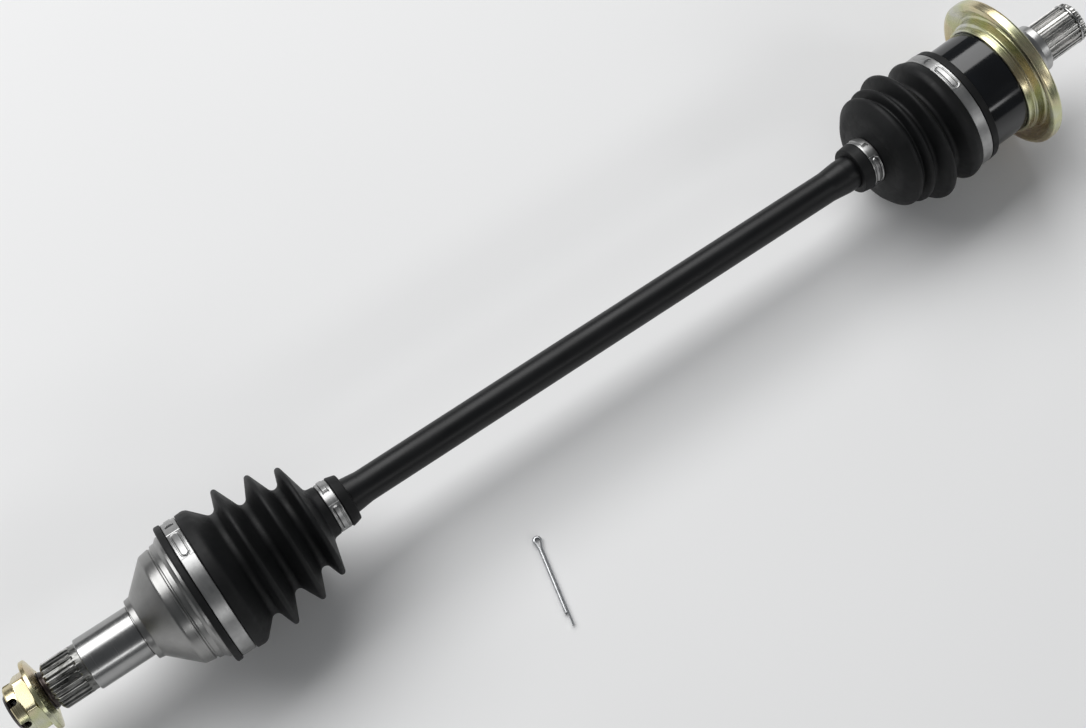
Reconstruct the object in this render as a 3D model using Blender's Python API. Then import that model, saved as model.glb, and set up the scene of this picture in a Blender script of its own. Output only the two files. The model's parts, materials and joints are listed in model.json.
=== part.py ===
"""CV axle of a small off-road vehicle: a bar shaft between a fixed ball joint at the wheel and a plunging ball joint
at the gearbox, with boots, clamps, castle nut, hub washer, dust shield and a loose split pin.

+X runs from the wheel end to the gearbox end and +Z is up. The origin is the centre of the wheel stub's end face.
The sizes below are in millimetres. Each joint is modelled about its own centre and then placed there.
At rest the wheel joint is straight, and the gearbox joint is bent upwards by REST_BEND, as it lies on a table."""

import math

import bmesh
import bpy
from mathutils import Matrix, Vector

MM = 0.001
GAP = 0.3  # between pieces that touch
BOOT_GAP = 0.5  # under a boot, whose sides are fewer
FULL_TURN = 2 * math.pi
BALLS = 6

# Overall layout
JOINT_SPACING = 542.0  # from the centre of one joint to the centre of the other
REST_BEND = math.radians(8.5)
OUTER_HALF_BEND = math.radians(22.5)  # the cage's share of the largest bend
INNER_HALF_BEND = math.radians(10.0)
PLUNGE = 10.0  # each way

# Shaft
BAR_R = 9.35
RACE_SEAT_R = 10.0
RACE_SHOULDER_R = 12.0
RACE_SHOULDER_L = 4.0
OUTER_NECK_R = 10.4
INNER_NECK_R = 10.6
SHAFT_CHAMFER = 0.8

# Balls, races and cages, the same in both joints
BALL_D = 14.3
OUTER_PITCH_R = 24.0
INNER_PITCH_R = 23.5
OUTER_GROOVE_PLAY = 0.07 * BALL_D
OUTER_GROOVE_SIDE_PLAY = 0.175 * BALL_D  # a ball in the middle of its window drifts sideways in a bent groove
INNER_GROOVE_PLAY = 0.035 * BALL_D
INNER_GROOVE_SIDE_PLAY = 0.056 * BALL_D
RACE_HALF_W = 10.0
RACE_DEPTH = 0.09 * BALL_D  # how far the race's ball surface lies inside the pitch circle
CAGE_T = 0.3 * BALL_D
CAGE_LAND = 3.6
OUTER_WINDOW_PLAY = 1.2
INNER_WINDOW_PLAY = 0.8
CLIP_WIRE_R = 0.8
CAP_EDGE = 0.5  # how deep a groove's round cap still is where it ends

# Wheel stub
THREAD_R = 10.8
THREAD_L = 23.0
SPLINE_TIP_R = 13.6
SPLINE_ROOT_R = 12.3
SPLINE_L = 17.0
SPLINE_TEETH = 24
RELIEF_R = 13.2
RELIEF_L = 3.5
JOURNAL_R = 15.0
JOURNAL_L = 32.0
SHOULDER_R = 17.8
BELL_DEPTH = 33.5  # from the bearing shoulder to the joint centre
BELL_NECK_R = 20.0
BELL_WALL = 4.85
PIN_HOLE_R = 1.8

# Nut and washer
WASHER_STANDOFF = 3.2  # between the washer and the spline
NUT_CROWN_L = 5.5
NUT_HEX_L = 7.5
NUT_APOTHEM = 14.8
NUT_CROWN_R = 14.0
NUT_SLOT_W = 4.2
NUT_SLOTS = 6
NUT_TURN = math.radians(30)  # from +Y to the middle of the first flat, and its slot
WASHER_R = 20.4
WASHER_RIM_T = 2.4
WASHER_T = 4.5
WASHER_FACE_R = 13.5
NUT_START = THREAD_L - WASHER_STANDOFF - WASHER_T - GAP - NUT_HEX_L - NUT_CROWN_L
PIN_HOLE_X = max(2 * PIN_HOLE_R, NUT_START + 3.0)

# Boots and clamps
BOOT_WALL = 2.0
TAIL_WALL = 2.6
CLAMP_T = 0.9
BIG_CLAMP_W = 8.2
INNER_CLAMP_W = 7.0
SMALL_CLAMP_W = 6.6
EAR_SPAN = math.radians(64)
EAR_H = 0.8

# Gearbox-side housing, shield and stub
INNER_HOUSING_WALL = 3.6
INNER_MOUTH = 29.0  # in front of the joint centre
END_WALL = 4.2
COLLAR_R = 15.75
COLLAR_L = 15.5
STUB_TIP_R = 12.95
STUB_ROOT_R = 11.7
STUB_L = 29.3
STUB_TEETH = 25
RING_WIRE_R = 0.9
RING_OFFSET = 25.5
SHIELD_R = 49.4
SHIELD_X = 9.7  # from the joint centre to the front of the shield
SHIELD_T = 3.2

# Split pin, lying on the table
PIN_LEG_R = 1.4
PIN_LEG_GAP = 0.3
PIN_SHORT_LEG = 39.4
PIN_LONG_LEG = 46.8
PIN_EYE_L = 8.7
PIN_EYE_W = 5.8
PIN_PLACE = (279.1, -73.1)
PIN_HEADING = math.radians(-103.1)

ROUND = 32
FINE = 36
BOOT_SIDES = 24

BALL_R = BALL_D / 2
OUTER_CENTRE = THREAD_L + SPLINE_L + RELIEF_L + JOURNAL_L + BELL_DEPTH
INNER_CENTRE = OUTER_CENTRE + JOINT_SPACING

COLOURS = {
    "black_paint": ((0.015, 0.016, 0.018), 0.35, 0.0),
    "machined_steel": ((0.62, 0.61, 0.59), 0.28, 1.0),
    "yellow_zinc": ((0.62, 0.55, 0.32), 0.3, 1.0),
    "rubber": ((0.022, 0.023, 0.024), 0.6, 0.0),
    "stainless": ((0.7, 0.7, 0.69), 0.3, 1.0),
    "hard_steel": ((0.5, 0.5, 0.5), 0.2, 1.0),
    "zinc": ((0.66, 0.67, 0.68), 0.35, 1.0),
}


def clear_scene():
    for old in list(bpy.data.objects):
        bpy.data.objects.remove(old)


def material(name):
    found = bpy.data.materials.get(name)
    if found:
        return found
    made = bpy.data.materials.new(name)
    made.use_nodes = True
    colour, roughness, metallic = COLOURS[name]
    shader = made.node_tree.nodes["Principled BSDF"]
    shader.inputs["Base Color"].default_value = (*colour, 1)
    shader.inputs["Roughness"].default_value = roughness
    shader.inputs["Metallic"].default_value = metallic
    return made


# Rings and skins: a solid is a list of rings of points, each ring joined to the next


def polar(x, radius, angle):
    return Vector((x, radius * math.cos(angle), radius * math.sin(angle)))


def circle(x, radius, sides=ROUND):
    """A circle with the middle of a side, not a corner, at its lowest point."""
    return [polar(x, radius, FULL_TURN * (i + 0.5) / sides) for i in range(sides)]


def toothed(x, root, tip, teeth):
    """A spline's section: each tooth has two corners at its root and two at its tip."""
    corners = ((-0.32, root), (-0.15, tip), (0.15, tip), (0.32, root))
    return [polar(x, r, FULL_TURN * (i + f) / teeth) for i in range(teeth) for f, r in corners]


def join_rings(bm, first, second):
    """Faces between two rings of vertices, which may differ in number."""
    if len(first) == len(second):
        count = len(first)
        for i in range(count):
            j = (i + 1) % count
            bm.faces.new((first[i], first[j], second[j], second[i]))
        return
    nearest = min(range(len(second)), key=lambda k: (second[k].co - first[0].co).length)
    second = second[nearest:] + second[:nearest]
    a, b = 0, 0
    while a < len(first) or b < len(second):
        ahead_a = (a + 1) / len(first)
        ahead_b = (b + 1) / len(second)
        here_a = first[a % len(first)]
        here_b = second[b % len(second)]
        if b >= len(second) or (a < len(first) and ahead_a <= ahead_b):
            bm.faces.new((here_a, first[(a + 1) % len(first)], here_b))
            a += 1
        else:
            bm.faces.new((here_a, second[(b + 1) % len(second)], here_b))
            b += 1


def place(name, bm, finish, pivot=(0, 0, 0), tilt=0.0):
    """Makes the object from its mesh in millimetres about pivot, raised by tilt towards +X."""
    bmesh.ops.recalc_face_normals(bm, faces=bm.faces[:])
    if bm.calc_volume(signed=True) < 0:
        bmesh.ops.reverse_faces(bm, faces=bm.faces[:])
    bm.transform(Matrix.Scale(MM, 4))
    mesh = bpy.data.meshes.new(name)
    bm.to_mesh(mesh)
    bm.free()
    mesh.shade_smooth()
    mesh.set_sharp_from_angle(angle=math.radians(30))
    mesh.materials.append(material(finish))
    made = bpy.data.objects.new(name, mesh)
    made.location = Vector(pivot) * MM
    made.rotation_euler = (0, -tilt, 0)
    bpy.context.scene.collection.objects.link(made)
    return made


def skin(rings, closed=False):
    """A mesh through the rings. Closed joins the last ring to the first; otherwise both ends are capped."""
    bm = bmesh.new()
    made = [[bm.verts.new(p) for p in ring] for ring in rings]
    for first, second in zip(made, made[1:]):
        join_rings(bm, first, second)
    if closed:
        join_rings(bm, made[-1], made[0])
    else:
        bm.faces.new(made[0])
        bm.faces.new(made[-1])
    return bm


def turned(name, outline, finish, pivot=(0, 0, 0), tilt=0.0, sides=ROUND, closed=False):
    """A turned piece from its outline of (x, radius) points."""
    rings = [circle(x, r, sides) for x, r in outline]
    return place(name, skin(rings, closed), finish, pivot, tilt)


def rounded(points, steps=3):
    """An outline whose corners are rounded: each point is (x, radius) or (x, radius, corner radius)."""
    made = []
    for i, point in enumerate(points):
        here = Vector(point[:2])
        corner = point[2] if len(point) > 2 else 0.0
        if not corner or i in (0, len(points) - 1):
            made.append(here)
            continue
        back = Vector(points[i - 1][:2]) - here
        ahead = Vector(points[i + 1][:2]) - here
        half_angle = back.angle(ahead) / 2
        reach = min(corner / math.tan(half_angle), back.length * 0.45, ahead.length * 0.45)
        start = here + back.normalized() * reach
        end = here + ahead.normalized() * reach
        for k in range(steps + 1):
            t = k / steps
            made.append(start * (1 - t) ** 2 + here * 2 * t * (1 - t) + end * t * t)
    return [tuple(p) for p in made]


def cutter(name, bm, pivot=(0, 0, 0), tilt=0.0):
    made = place(name, bm, "hard_steel", pivot, tilt)
    made.hide_render = True
    made.display_type = "WIRE"
    return made


def cut(target, tool):
    modifier = target.modifiers.new(tool.name, "BOOLEAN")
    modifier.operation = "DIFFERENCE"
    modifier.solver = "EXACT"
    modifier.object = tool


def rod_across(radius, half_length, x, angle, sides=16):
    """A rod through the axis at x, pointing at the given angle round it."""
    out = Vector((0, math.cos(angle), math.sin(angle)))
    side = Vector((0, -math.sin(angle), math.cos(angle)))
    along = Vector((1, 0, 0))
    rings = []
    for end in (-half_length, half_length):
        centre = along * x + out * end
        turns = [FULL_TURN * i / sides for i in range(sides)]
        rings.append([centre + radius * (along * math.cos(a) + side * math.sin(a)) for a in turns])
    return skin(rings)


def wire_ring(name, finish, x, centre_r, wire_r, opening, pivot=(0, 0, 0), tilt=0.0, stations=24, sides=5):
    """A ring of round wire about the axis, open over the given angle."""
    rings = []
    for i in range(stations + 1):
        angle = opening / 2 + (FULL_TURN - opening) * i / stations
        ring = []
        for k in range(sides):
            turn = FULL_TURN * k / sides
            ring.append(polar(x + wire_r * math.sin(turn), centre_r + wire_r * math.cos(turn), angle))
        rings.append(ring)
    return place(name, skin(rings), finish, pivot, tilt)


# Ball joints


def ball_angles(first):
    return [first + FULL_TURN * i / BALLS for i in range(BALLS)]


def groove_edge(land_r, pitch_r, depth, width, sign):
    """The turn round a groove's section at which it meets the sphere of radius land_r."""
    square = depth**2 - width**2
    linear = 2 * sign * pitch_r * depth
    rest = pitch_r**2 + width**2 - land_r**2
    root = math.sqrt(linear**2 - 4 * square * rest)
    return math.acos(2 * rest / (-linear - math.copysign(root, linear)))


def fade_angle(sizes):
    """How far past its end a groove's round cap runs before it leaves the land: there the land's radius, the pitch
    radius and the groove's depth make a triangle."""
    land = sizes["land"] + CAP_EDGE
    return math.acos((sizes["pitch"] ** 2 + land**2 - sizes["depth"] ** 2) / (2 * sizes["pitch"] * land))


def grooved(latitude, land_r, pitch_r, depth, width, first, outward, land_points=2, groove_points=6):
    """A section of a ball track surface on the cone at this latitude: arcs of a sphere, with a groove at each ball.
    The grooves bulge outwards in a housing and inwards on a race. Each is an ellipse of the given half depth and
    half width about the ball's centre."""
    sign = 1 if outward else -1
    half = groove_edge(land_r, pitch_r, depth, width, sign)
    edge_out = pitch_r + sign * depth * math.cos(half)
    edge_turn = math.atan2(width * math.sin(half), edge_out * math.cos(latitude))
    ring = []
    for angle in ball_angles(first):
        out = Vector((math.sin(latitude), math.cos(latitude) * math.cos(angle), math.cos(latitude) * math.sin(angle)))
        side = Vector((0, -math.sin(angle), math.cos(angle)))
        for k in range(groove_points + 1):
            turn = half * (2 * k / groove_points - 1)
            ring.append(out * (pitch_r + sign * depth * math.cos(turn)) + side * width * math.sin(turn))
        span = FULL_TURN / BALLS - 2 * edge_turn
        for k in range(1, land_points + 1):
            turn = angle + edge_turn + span * k / (land_points + 1)
            ring.append(polar(land_r * math.sin(latitude), land_r * math.cos(latitude), turn))
    return ring


def same_turns(ring, x, radius):
    """A circle at x whose points stand at the same turns as the ring's."""
    return [polar(x, radius, math.atan2(p.z, p.y)) for p in ring]


def joint_sizes(pitch_r, groove_play, side_play, window_play):
    """The radii of one joint's race, cage and housing, from its pitch circle and its balls."""
    race_r = pitch_r - RACE_DEPTH
    cage_in = race_r + GAP
    cage_out = cage_in + CAGE_T
    return {
        "pitch": pitch_r,
        "depth": BALL_R + groove_play,
        "width": BALL_R + side_play,
        "window": BALL_R + window_play,
        "race": race_r,
        "cage_in": cage_in,
        "cage_out": cage_out,
        "cage_half": BALL_R + window_play + CAGE_LAND,
        "land": cage_out + GAP,
        "bottom": pitch_r + BALL_R + groove_play,
    }


def swept_depth(sizes, half_bend):
    """How far along the axis the joint's insides reach at the largest bend: the cage's corner, which turns through
    half of the bend, and the race's and the shaft end's corners, which turn through all of it."""
    race_corner = (RACE_HALF_W, math.sqrt(sizes["race"] ** 2 - RACE_HALF_W**2))
    cage_corner = (sizes["cage_half"], math.sqrt(sizes["cage_out"] ** 2 - sizes["cage_half"] ** 2))
    swept = [(race_corner, 2 * half_bend), (cage_corner, half_bend), ((SHAFT_END, RACE_SEAT_R), 2 * half_bend)]
    return max(x * math.cos(bend) + r * math.sin(bend) for (x, r), bend in swept)


CLIP_SEAT = RACE_HALF_W + GAP
SHAFT_END = CLIP_SEAT + 2 * CLIP_WIRE_R + 1.6
OUTER = joint_sizes(OUTER_PITCH_R, OUTER_GROOVE_PLAY, OUTER_GROOVE_SIDE_PLAY, OUTER_WINDOW_PLAY)
INNER = joint_sizes(INNER_PITCH_R, INNER_GROOVE_PLAY, INNER_GROOVE_SIDE_PLAY, INNER_WINDOW_PLAY)
OUTER_FIRST_BALL = math.radians(90)  # the first ball stands on +Z, the fourth on -Z
INNER_FIRST_BALL = 0.0  # the first ball stands on +Y
BELL_R = OUTER["bottom"] + BELL_WALL
INNER_HOUSING_R = INNER["bottom"] + INNER_HOUSING_WALL
INNER_FLOOR = swept_depth(INNER, INNER_HALF_BEND) + PLUNGE + 2 * GAP
SHIELD_BORE = INNER_HOUSING_R + GAP


def race(name, sizes, first, pivot):
    """The inner race: part of a sphere with a groove for each ball and a bore for the shaft."""
    edge = math.asin(RACE_HALF_W / sizes["race"])
    steps = 4
    rings = []
    for i in range(steps + 1):
        latitude = edge * (2 * i / steps - 1)
        rings.append(grooved(latitude, sizes["race"], sizes["pitch"], sizes["depth"], sizes["width"], first, False))
    bore = RACE_SEAT_R + GAP
    rings.append(same_turns(rings[-1], RACE_HALF_W, bore))
    rings.append(same_turns(rings[0], -RACE_HALF_W, bore))
    return place(name, skin(rings, closed=True), "hard_steel", pivot)


def cage(name, sizes, first, pivot, tilt=0.0):
    """The cage: a spherical ring with a round window for each ball."""
    steps = 5
    outline = []
    for radius, way in ((sizes["cage_out"], 1), (sizes["cage_in"], -1)):
        edge = math.asin(sizes["cage_half"] / radius)
        for i in range(steps + 1):
            latitude = way * edge * (2 * i / steps - 1)
            outline.append((radius * math.sin(latitude), radius * math.cos(latitude)))
    made = turned(name, outline, "hard_steel", pivot, tilt, FINE, closed=True)
    for i, angle in enumerate(ball_angles(first)[: BALLS // 2]):
        rod = rod_across(sizes["window"], sizes["cage_out"] + 5, 0, angle + 0.0005)
        cut(made, cutter(f"{name}_window_{i + 1}", rod, pivot, tilt))
    return made


def ball(name, sizes, angle, pivot, tilt=0.0):
    bm = bmesh.new()
    bmesh.ops.create_uvsphere(bm, u_segments=10, v_segments=6, radius=BALL_R)
    bm.transform(Matrix.Translation(polar(0, sizes["pitch"], angle)))
    return place(name, bm, "hard_steel", pivot, tilt)


def joint_insides(prefix, sizes, first, centre, side, tilt=0.0):
    """The race, cage, balls and snap ring. The snap ring is on the shaft's end, on the given side of the race."""
    pivot = (centre, 0, 0)
    race(f"{prefix}_inner_race", sizes, first, pivot)
    cage(f"{prefix}_cage", sizes, first, pivot, tilt)
    for i, angle in enumerate(ball_angles(first)):
        ball(f"{prefix}_ball_{i + 1}", sizes, angle, pivot, tilt)
    clip_x = side * (CLIP_SEAT + CLIP_WIRE_R)
    wire_ring(f"{prefix}_race_snap_ring", "hard_steel", clip_x, RACE_SEAT_R, CLIP_WIRE_R, 0.6, pivot)


# Shaft


def shaft_end(side):
    """The outline of the shaft from its end inside a joint to the far side of the race's shoulder, away from the
    joint centre."""
    groove_r = RACE_SEAT_R - CLIP_WIRE_R - GAP
    groove_near = CLIP_SEAT - GAP
    groove_far = CLIP_SEAT + 2 * CLIP_WIRE_R + GAP
    shoulder = RACE_HALF_W + GAP
    points = [
        (SHAFT_END, RACE_SEAT_R - SHAFT_CHAMFER),
        (SHAFT_END - SHAFT_CHAMFER, RACE_SEAT_R),
        (groove_far, RACE_SEAT_R),
        (groove_far, groove_r),
        (groove_near, groove_r),
        (groove_near, RACE_SEAT_R),
        (-shoulder, RACE_SEAT_R),
        (-shoulder, RACE_SHOULDER_R),
        (-shoulder - RACE_SHOULDER_L, RACE_SHOULDER_R),
        (-shoulder - 2.5 * RACE_SHOULDER_L, RACE_SEAT_R),
    ]
    return [(side * x, r) for x, r in points]


def axle_shaft():
    outline = [(OUTER_CENTRE + x, r) for x, r in shaft_end(-1)]
    neck = OUTER_BOOT_END + 1
    outline += [(OUTER_CENTRE + neck - 12, OUTER_NECK_R), (OUTER_CENTRE + neck, OUTER_NECK_R)]
    outline += [(OUTER_CENTRE + neck + 9, BAR_R)]
    grip = INNER_BOOT_START - 2
    outline += [(INNER_CENTRE + grip - 16, BAR_R), (INNER_CENTRE + grip - 7, (BAR_R + INNER_NECK_R) / 2 - 0.3)]
    outline += [(INNER_CENTRE + grip, INNER_NECK_R), (INNER_CENTRE + grip + 17, INNER_NECK_R)]
    outline += [(INNER_CENTRE + grip + 26, RACE_SEAT_R)]
    outline += [(INNER_CENTRE + x, r) for x, r in reversed(shaft_end(1))]
    turned("axle_shaft", outline, "black_paint", sides=24)


# Wheel side


def wheel_stub():
    """The rings of the threaded, splined stub and its journal, from the end face to the bearing shoulder."""
    spline = THREAD_L
    relief = spline + SPLINE_L
    journal = relief + RELIEF_L
    shoulder = journal + JOURNAL_L
    chamfer = 1.2
    return [
        circle(0, THREAD_R - chamfer, 24),
        circle(chamfer, THREAD_R, 24),
        circle(spline - 1.5, THREAD_R, 24),
        circle(spline, THREAD_R - 0.9, 24),
        toothed(spline, SPLINE_ROOT_R - 0.3, SPLINE_ROOT_R, SPLINE_TEETH),
        toothed(spline + chamfer, SPLINE_ROOT_R, SPLINE_TIP_R, SPLINE_TEETH),
        toothed(relief, SPLINE_ROOT_R, SPLINE_TIP_R, SPLINE_TEETH),
        circle(relief, RELIEF_R, FINE),
        circle(journal, RELIEF_R, FINE),
        circle(journal, JOURNAL_R - 0.7, FINE),
        circle(journal + 0.7, JOURNAL_R, FINE),
        circle(shoulder, JOURNAL_R, FINE),
        circle(shoulder, SHOULDER_R, FINE),
    ]


def bell_outline():
    """The outside of the bell about the joint centre, from the bearing shoulder to the mouth."""
    band_r = BELL_R - 2.9
    band = -13.5
    return rounded(
        [
            (-BELL_DEPTH + 0.4, SHOULDER_R + 0.3),
            (-BELL_DEPTH + 3.2, SHOULDER_R + 0.6, 2.0),
            (-BELL_DEPTH + 5.0, BELL_NECK_R),
            (band - 1.5, band_r - 0.9, 2.5),
            (band + 4.5, band_r, 0),
            (band + 5.0, band_r - 0.6, 0),
            (band + 5.6, band_r + 0.5, 0),
            (band + 8.5, band_r + 0.9, 0.6),
            (band + 10.0, BELL_R - 0.6, 0.6),
            (band + 10.8, BELL_R, 0),
            (OUTER_MOUTH - 1, BELL_R, 0),
            (OUTER_MOUTH, BELL_R - 1, 0),
        ],
        steps=2,
    )


def outer_joint_housing():
    rings = [[p - Vector((OUTER_CENTRE, 0, 0)) for p in ring] for ring in wheel_stub()]
    rings += [circle(x, r, FINE) for x, r in bell_outline()]
    sizes = OUTER
    mouth_edge = math.asin((OUTER_MOUTH - 3) / sizes["land"])
    groove_end = OUTER_HALF_BEND + math.radians(2)
    fade = fade_angle(sizes)
    latitudes = [mouth_edge * f for f in (1, 0.5, 0)] + [-groove_end * f for f in (0.5, 1)]
    latitudes += [-groove_end - fade * f for f in (0.5, 1)]
    inside = []
    for latitude in latitudes:
        beyond = max(0.0, -latitude - groove_end)
        pitch = sizes["pitch"] * math.cos(beyond)
        shrunk = math.sqrt(1 - (sizes["pitch"] * math.sin(beyond) / sizes["depth"]) ** 2)
        depth, width = sizes["depth"] * shrunk, sizes["width"] * shrunk
        inside.append(grooved(latitude, sizes["land"], pitch, depth, width, OUTER_FIRST_BALL, True))
    rings.append(same_turns(inside[0], OUTER_MOUTH, OUTER_MOUTH_R))
    rings += inside
    floor_x = -swept_depth(sizes, OUTER_HALF_BEND) - 2 * GAP
    floor_r = math.sqrt(sizes["land"] ** 2 - floor_x**2)
    rings.append(same_turns(inside[0], floor_x, floor_r))
    made = place("outer_joint_housing", skin(rings), "machined_steel", (OUTER_CENTRE, 0, 0))
    hole = rod_across(PIN_HOLE_R, THREAD_R + 3, PIN_HOLE_X, NUT_TURN + FULL_TURN / NUT_SLOTS, sides=12)
    cut(made, cutter("pin_hole", hole))
    return made


def hexagon(x, apothem, corner_r, sides=FINE):
    """A hexagon whose corners are turned down to corner_r."""
    ring = []
    for i in range(sides):
        angle = FULL_TURN * i / sides
        off_flat = (angle - NUT_TURN + math.pi / 6) % (math.pi / 3) - math.pi / 6
        ring.append(polar(x, min(apothem / math.cos(off_flat), corner_r), angle))
    return ring


def hub_nut():
    """A castle nut: a hexagon with a round crown, slotted for the split pin."""
    corner = NUT_APOTHEM / math.cos(math.pi / 6) - 0.3
    top = NUT_START + NUT_CROWN_L
    base = top + NUT_HEX_L
    bore = THREAD_R + GAP
    rings = [
        circle(NUT_START, NUT_CROWN_R - 0.8, FINE),
        circle(NUT_START + 0.8, NUT_CROWN_R, FINE),
        circle(top, NUT_CROWN_R, FINE),
        hexagon(top, NUT_APOTHEM, NUT_APOTHEM + 0.2),
        hexagon(top + 1.2, NUT_APOTHEM, corner),
        hexagon(base - 1.0, NUT_APOTHEM, corner),
        hexagon(base, NUT_APOTHEM, NUT_APOTHEM + 0.3),
        circle(base, bore + 0.8, FINE),
        circle(base - 0.8, bore, FINE),
        circle(NUT_START + 0.8, bore, FINE),
        circle(NUT_START, bore + 0.8, FINE),
    ]
    made = place("hub_nut", skin(rings, closed=True), "yellow_zinc")
    for i in range(NUT_SLOTS // 2):
        angle = NUT_TURN + FULL_TURN * i / NUT_SLOTS
        bm = bmesh.new()
        bmesh.ops.create_cube(bm, size=1)
        size = (2 * NUT_CROWN_L, 4 * NUT_CROWN_R, NUT_SLOT_W)
        turn = Matrix.Rotation(angle, 4, "X")
        shift = Matrix.Translation((NUT_START - 0.6, 0, 0))
        bm.transform(shift @ turn @ Matrix.Diagonal((*size, 1)))
        cut(made, cutter(f"nut_slot_{i + 1}", bm))


def hub_washer():
    start = NUT_START + NUT_CROWN_L + NUT_HEX_L + GAP
    bore = THREAD_R + GAP
    outline = rounded(
        [
            (start, bore),
            (start, WASHER_R, 0.6),
            (start + WASHER_RIM_T, WASHER_R, 0.5),
            (start + WASHER_T, WASHER_FACE_R, 0),
            (start + WASHER_T, bore),
        ]
    )
    turned("hub_washer", outline, "yellow_zinc", sides=FINE, closed=True)


# Boots and clamps

OUTER_MOUTH = OUTER["cage_half"] + 1.0
OUTER_MOUTH_R = 29.3 / 27.6 * OUTER["land"]
OUTER_SEAT_R = BELL_R + BOOT_GAP + BOOT_WALL
INNER_SEAT_R = INNER_HOUSING_R + BOOT_GAP + BOOT_WALL
OUTER_TAIL_R = OUTER_NECK_R + BOOT_GAP + TAIL_WALL
INNER_TAIL_R = INNER_NECK_R + BOOT_GAP + TAIL_WALL
OUTER_CLAMP_X = 2.9
INNER_CLAMP_X = -26.5
OUTER_TAIL_X = 81.2
INNER_TAIL_X = -90.3
OUTER_BOOT_END = 94.2
INNER_BOOT_START = -97.5


def crest(x, radius, half_width=2.2):
    """The rounded top of a fold."""
    shoulder = 0.45 * half_width
    drop = 0.12 * half_width
    return [
        (x - half_width, radius - half_width),
        (x - shoulder, radius - drop),
        (x + shoulder, radius - drop),
        (x + half_width, radius - half_width),
    ]


def outer_boot_outline():
    """The outside of the wheel-side boot about the joint centre: three deep folds, tapering to the shaft."""
    clamp_end = OUTER_CLAMP_X + BIG_CLAMP_W + 0.3
    tail_end = OUTER_TAIL_X + SMALL_CLAMP_W + 0.3
    return rounded(
        [
            (-1.2, BELL_R + BOOT_GAP),
            (-1.2, OUTER_SEAT_R + 2.4, 1.4),
            (OUTER_CLAMP_X - 0.3, OUTER_SEAT_R + 2.2, 0.8),
            (OUTER_CLAMP_X - 0.3, OUTER_SEAT_R, 0),
            (clamp_end, OUTER_SEAT_R, 0),
            (clamp_end, OUTER_SEAT_R + 1.7, 0.8),
            (17.5, 41.4, 4.0),
            (29.0, 29.8, 3.0),
            *crest(35.3, 42.3),
            (44.5, 24.2, 4.0),
            *crest(54.3, 39.2),
            (63.0, 20.4, 4.0),
            *crest(70.0, 33.9),
            (75.5, 15.6, 3.0),
            (OUTER_TAIL_X - 0.3, OUTER_TAIL_R + 1.2, 0.6),
            (OUTER_TAIL_X - 0.3, OUTER_TAIL_R, 0),
            (tail_end, OUTER_TAIL_R, 0),
            (tail_end, OUTER_TAIL_R + 1.9, 0.8),
            (OUTER_BOOT_END, OUTER_TAIL_R + 0.3, 1.0),
            (OUTER_BOOT_END, OUTER_NECK_R + BOOT_GAP),
        ],
        steps=1,
    )


def inner_boot_outline():
    """The outside of the gearbox-side boot about the joint centre: a dome, a narrow fold, a large fold and a lobe."""
    tail_end = INNER_TAIL_X + SMALL_CLAMP_W + 0.3
    clamp_end = INNER_CLAMP_X + INNER_CLAMP_W + 0.3
    return rounded(
        [
            (INNER_BOOT_START, INNER_NECK_R + BOOT_GAP),
            (INNER_BOOT_START, INNER_TAIL_R + 0.6, 0.8),
            (INNER_TAIL_X - 0.3, INNER_TAIL_R + 1.6, 0.6),
            (INNER_TAIL_X - 0.3, INNER_TAIL_R, 0),
            (tail_end, INNER_TAIL_R, 0),
            (tail_end, INNER_TAIL_R + 1.0, 0),
            (-80.8, 29.0, 8.0),
            (-73.5, 37.4, 4.0),
            (-69.8, 31.0, 1.2),
            *crest(-66.6, 37.8),
            (-61.5, 30.0, 3.0),
            *crest(-53.5, 42.4, 3.2),
            (-42.5, 30.0, 4.0),
            (-34.0, 40.6, 5.0),
            (INNER_CLAMP_X - 0.3, INNER_SEAT_R + 1.4, 0.8),
            (INNER_CLAMP_X - 0.3, INNER_SEAT_R, 0),
            (clamp_end, INNER_SEAT_R, 0),
            (clamp_end, INNER_SEAT_R + 1.2, 0.5),
            (clamp_end + 4.6, INNER_SEAT_R + 0.8, 0.5),
            (clamp_end + 4.6, INNER_HOUSING_R + BOOT_GAP),
        ],
        steps=1,
    )


def lined(outline, sleeves):
    """Closes a boot's outline with its inside: the same folds one radial wall further in, and plain sleeves of the
    given (start, end, radius) where the boot grips metal."""
    inside = []
    for x, r in outline[1:-1]:
        gripped = [radius for start, end, radius in sleeves if start <= x <= end]
        inside.append((x, gripped[0] if gripped else r - 1.5 * BOOT_WALL))
    tidy = [inside[0]]
    for x, r in inside[1:]:
        if x - tidy[-1][0] > 0.4:
            tidy.append((x, r))
    first = (outline[0][0], tidy[0][1])
    last = (outline[-1][0], tidy[-1][1])
    tidy = [p for p in tidy if outline[0][0] + 0.4 < p[0] < outline[-1][0] - 0.4]
    return outline[1:-1] + [last] + tidy[::-1] + [first]


def boot_share(x, start, end):
    """How much of the joint's bend a boot has taken up at x: none at start, all at end, smoothly between."""
    t = max(0.0, min(1.0, (x - start) / (end - start)))
    return t * t * (3 - 2 * t)


def outer_boot():
    sleeves = [
        (-2, OUTER_CLAMP_X + BIG_CLAMP_W + 2, BELL_R + BOOT_GAP),
        (OUTER_TAIL_X - 1, OUTER_BOOT_END + 1, OUTER_NECK_R + BOOT_GAP),
    ]
    outline = lined(outer_boot_outline(), sleeves)
    turned("outer_boot", outline, "rubber", (OUTER_CENTRE, 0, 0), sides=BOOT_SIDES, closed=True)


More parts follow.
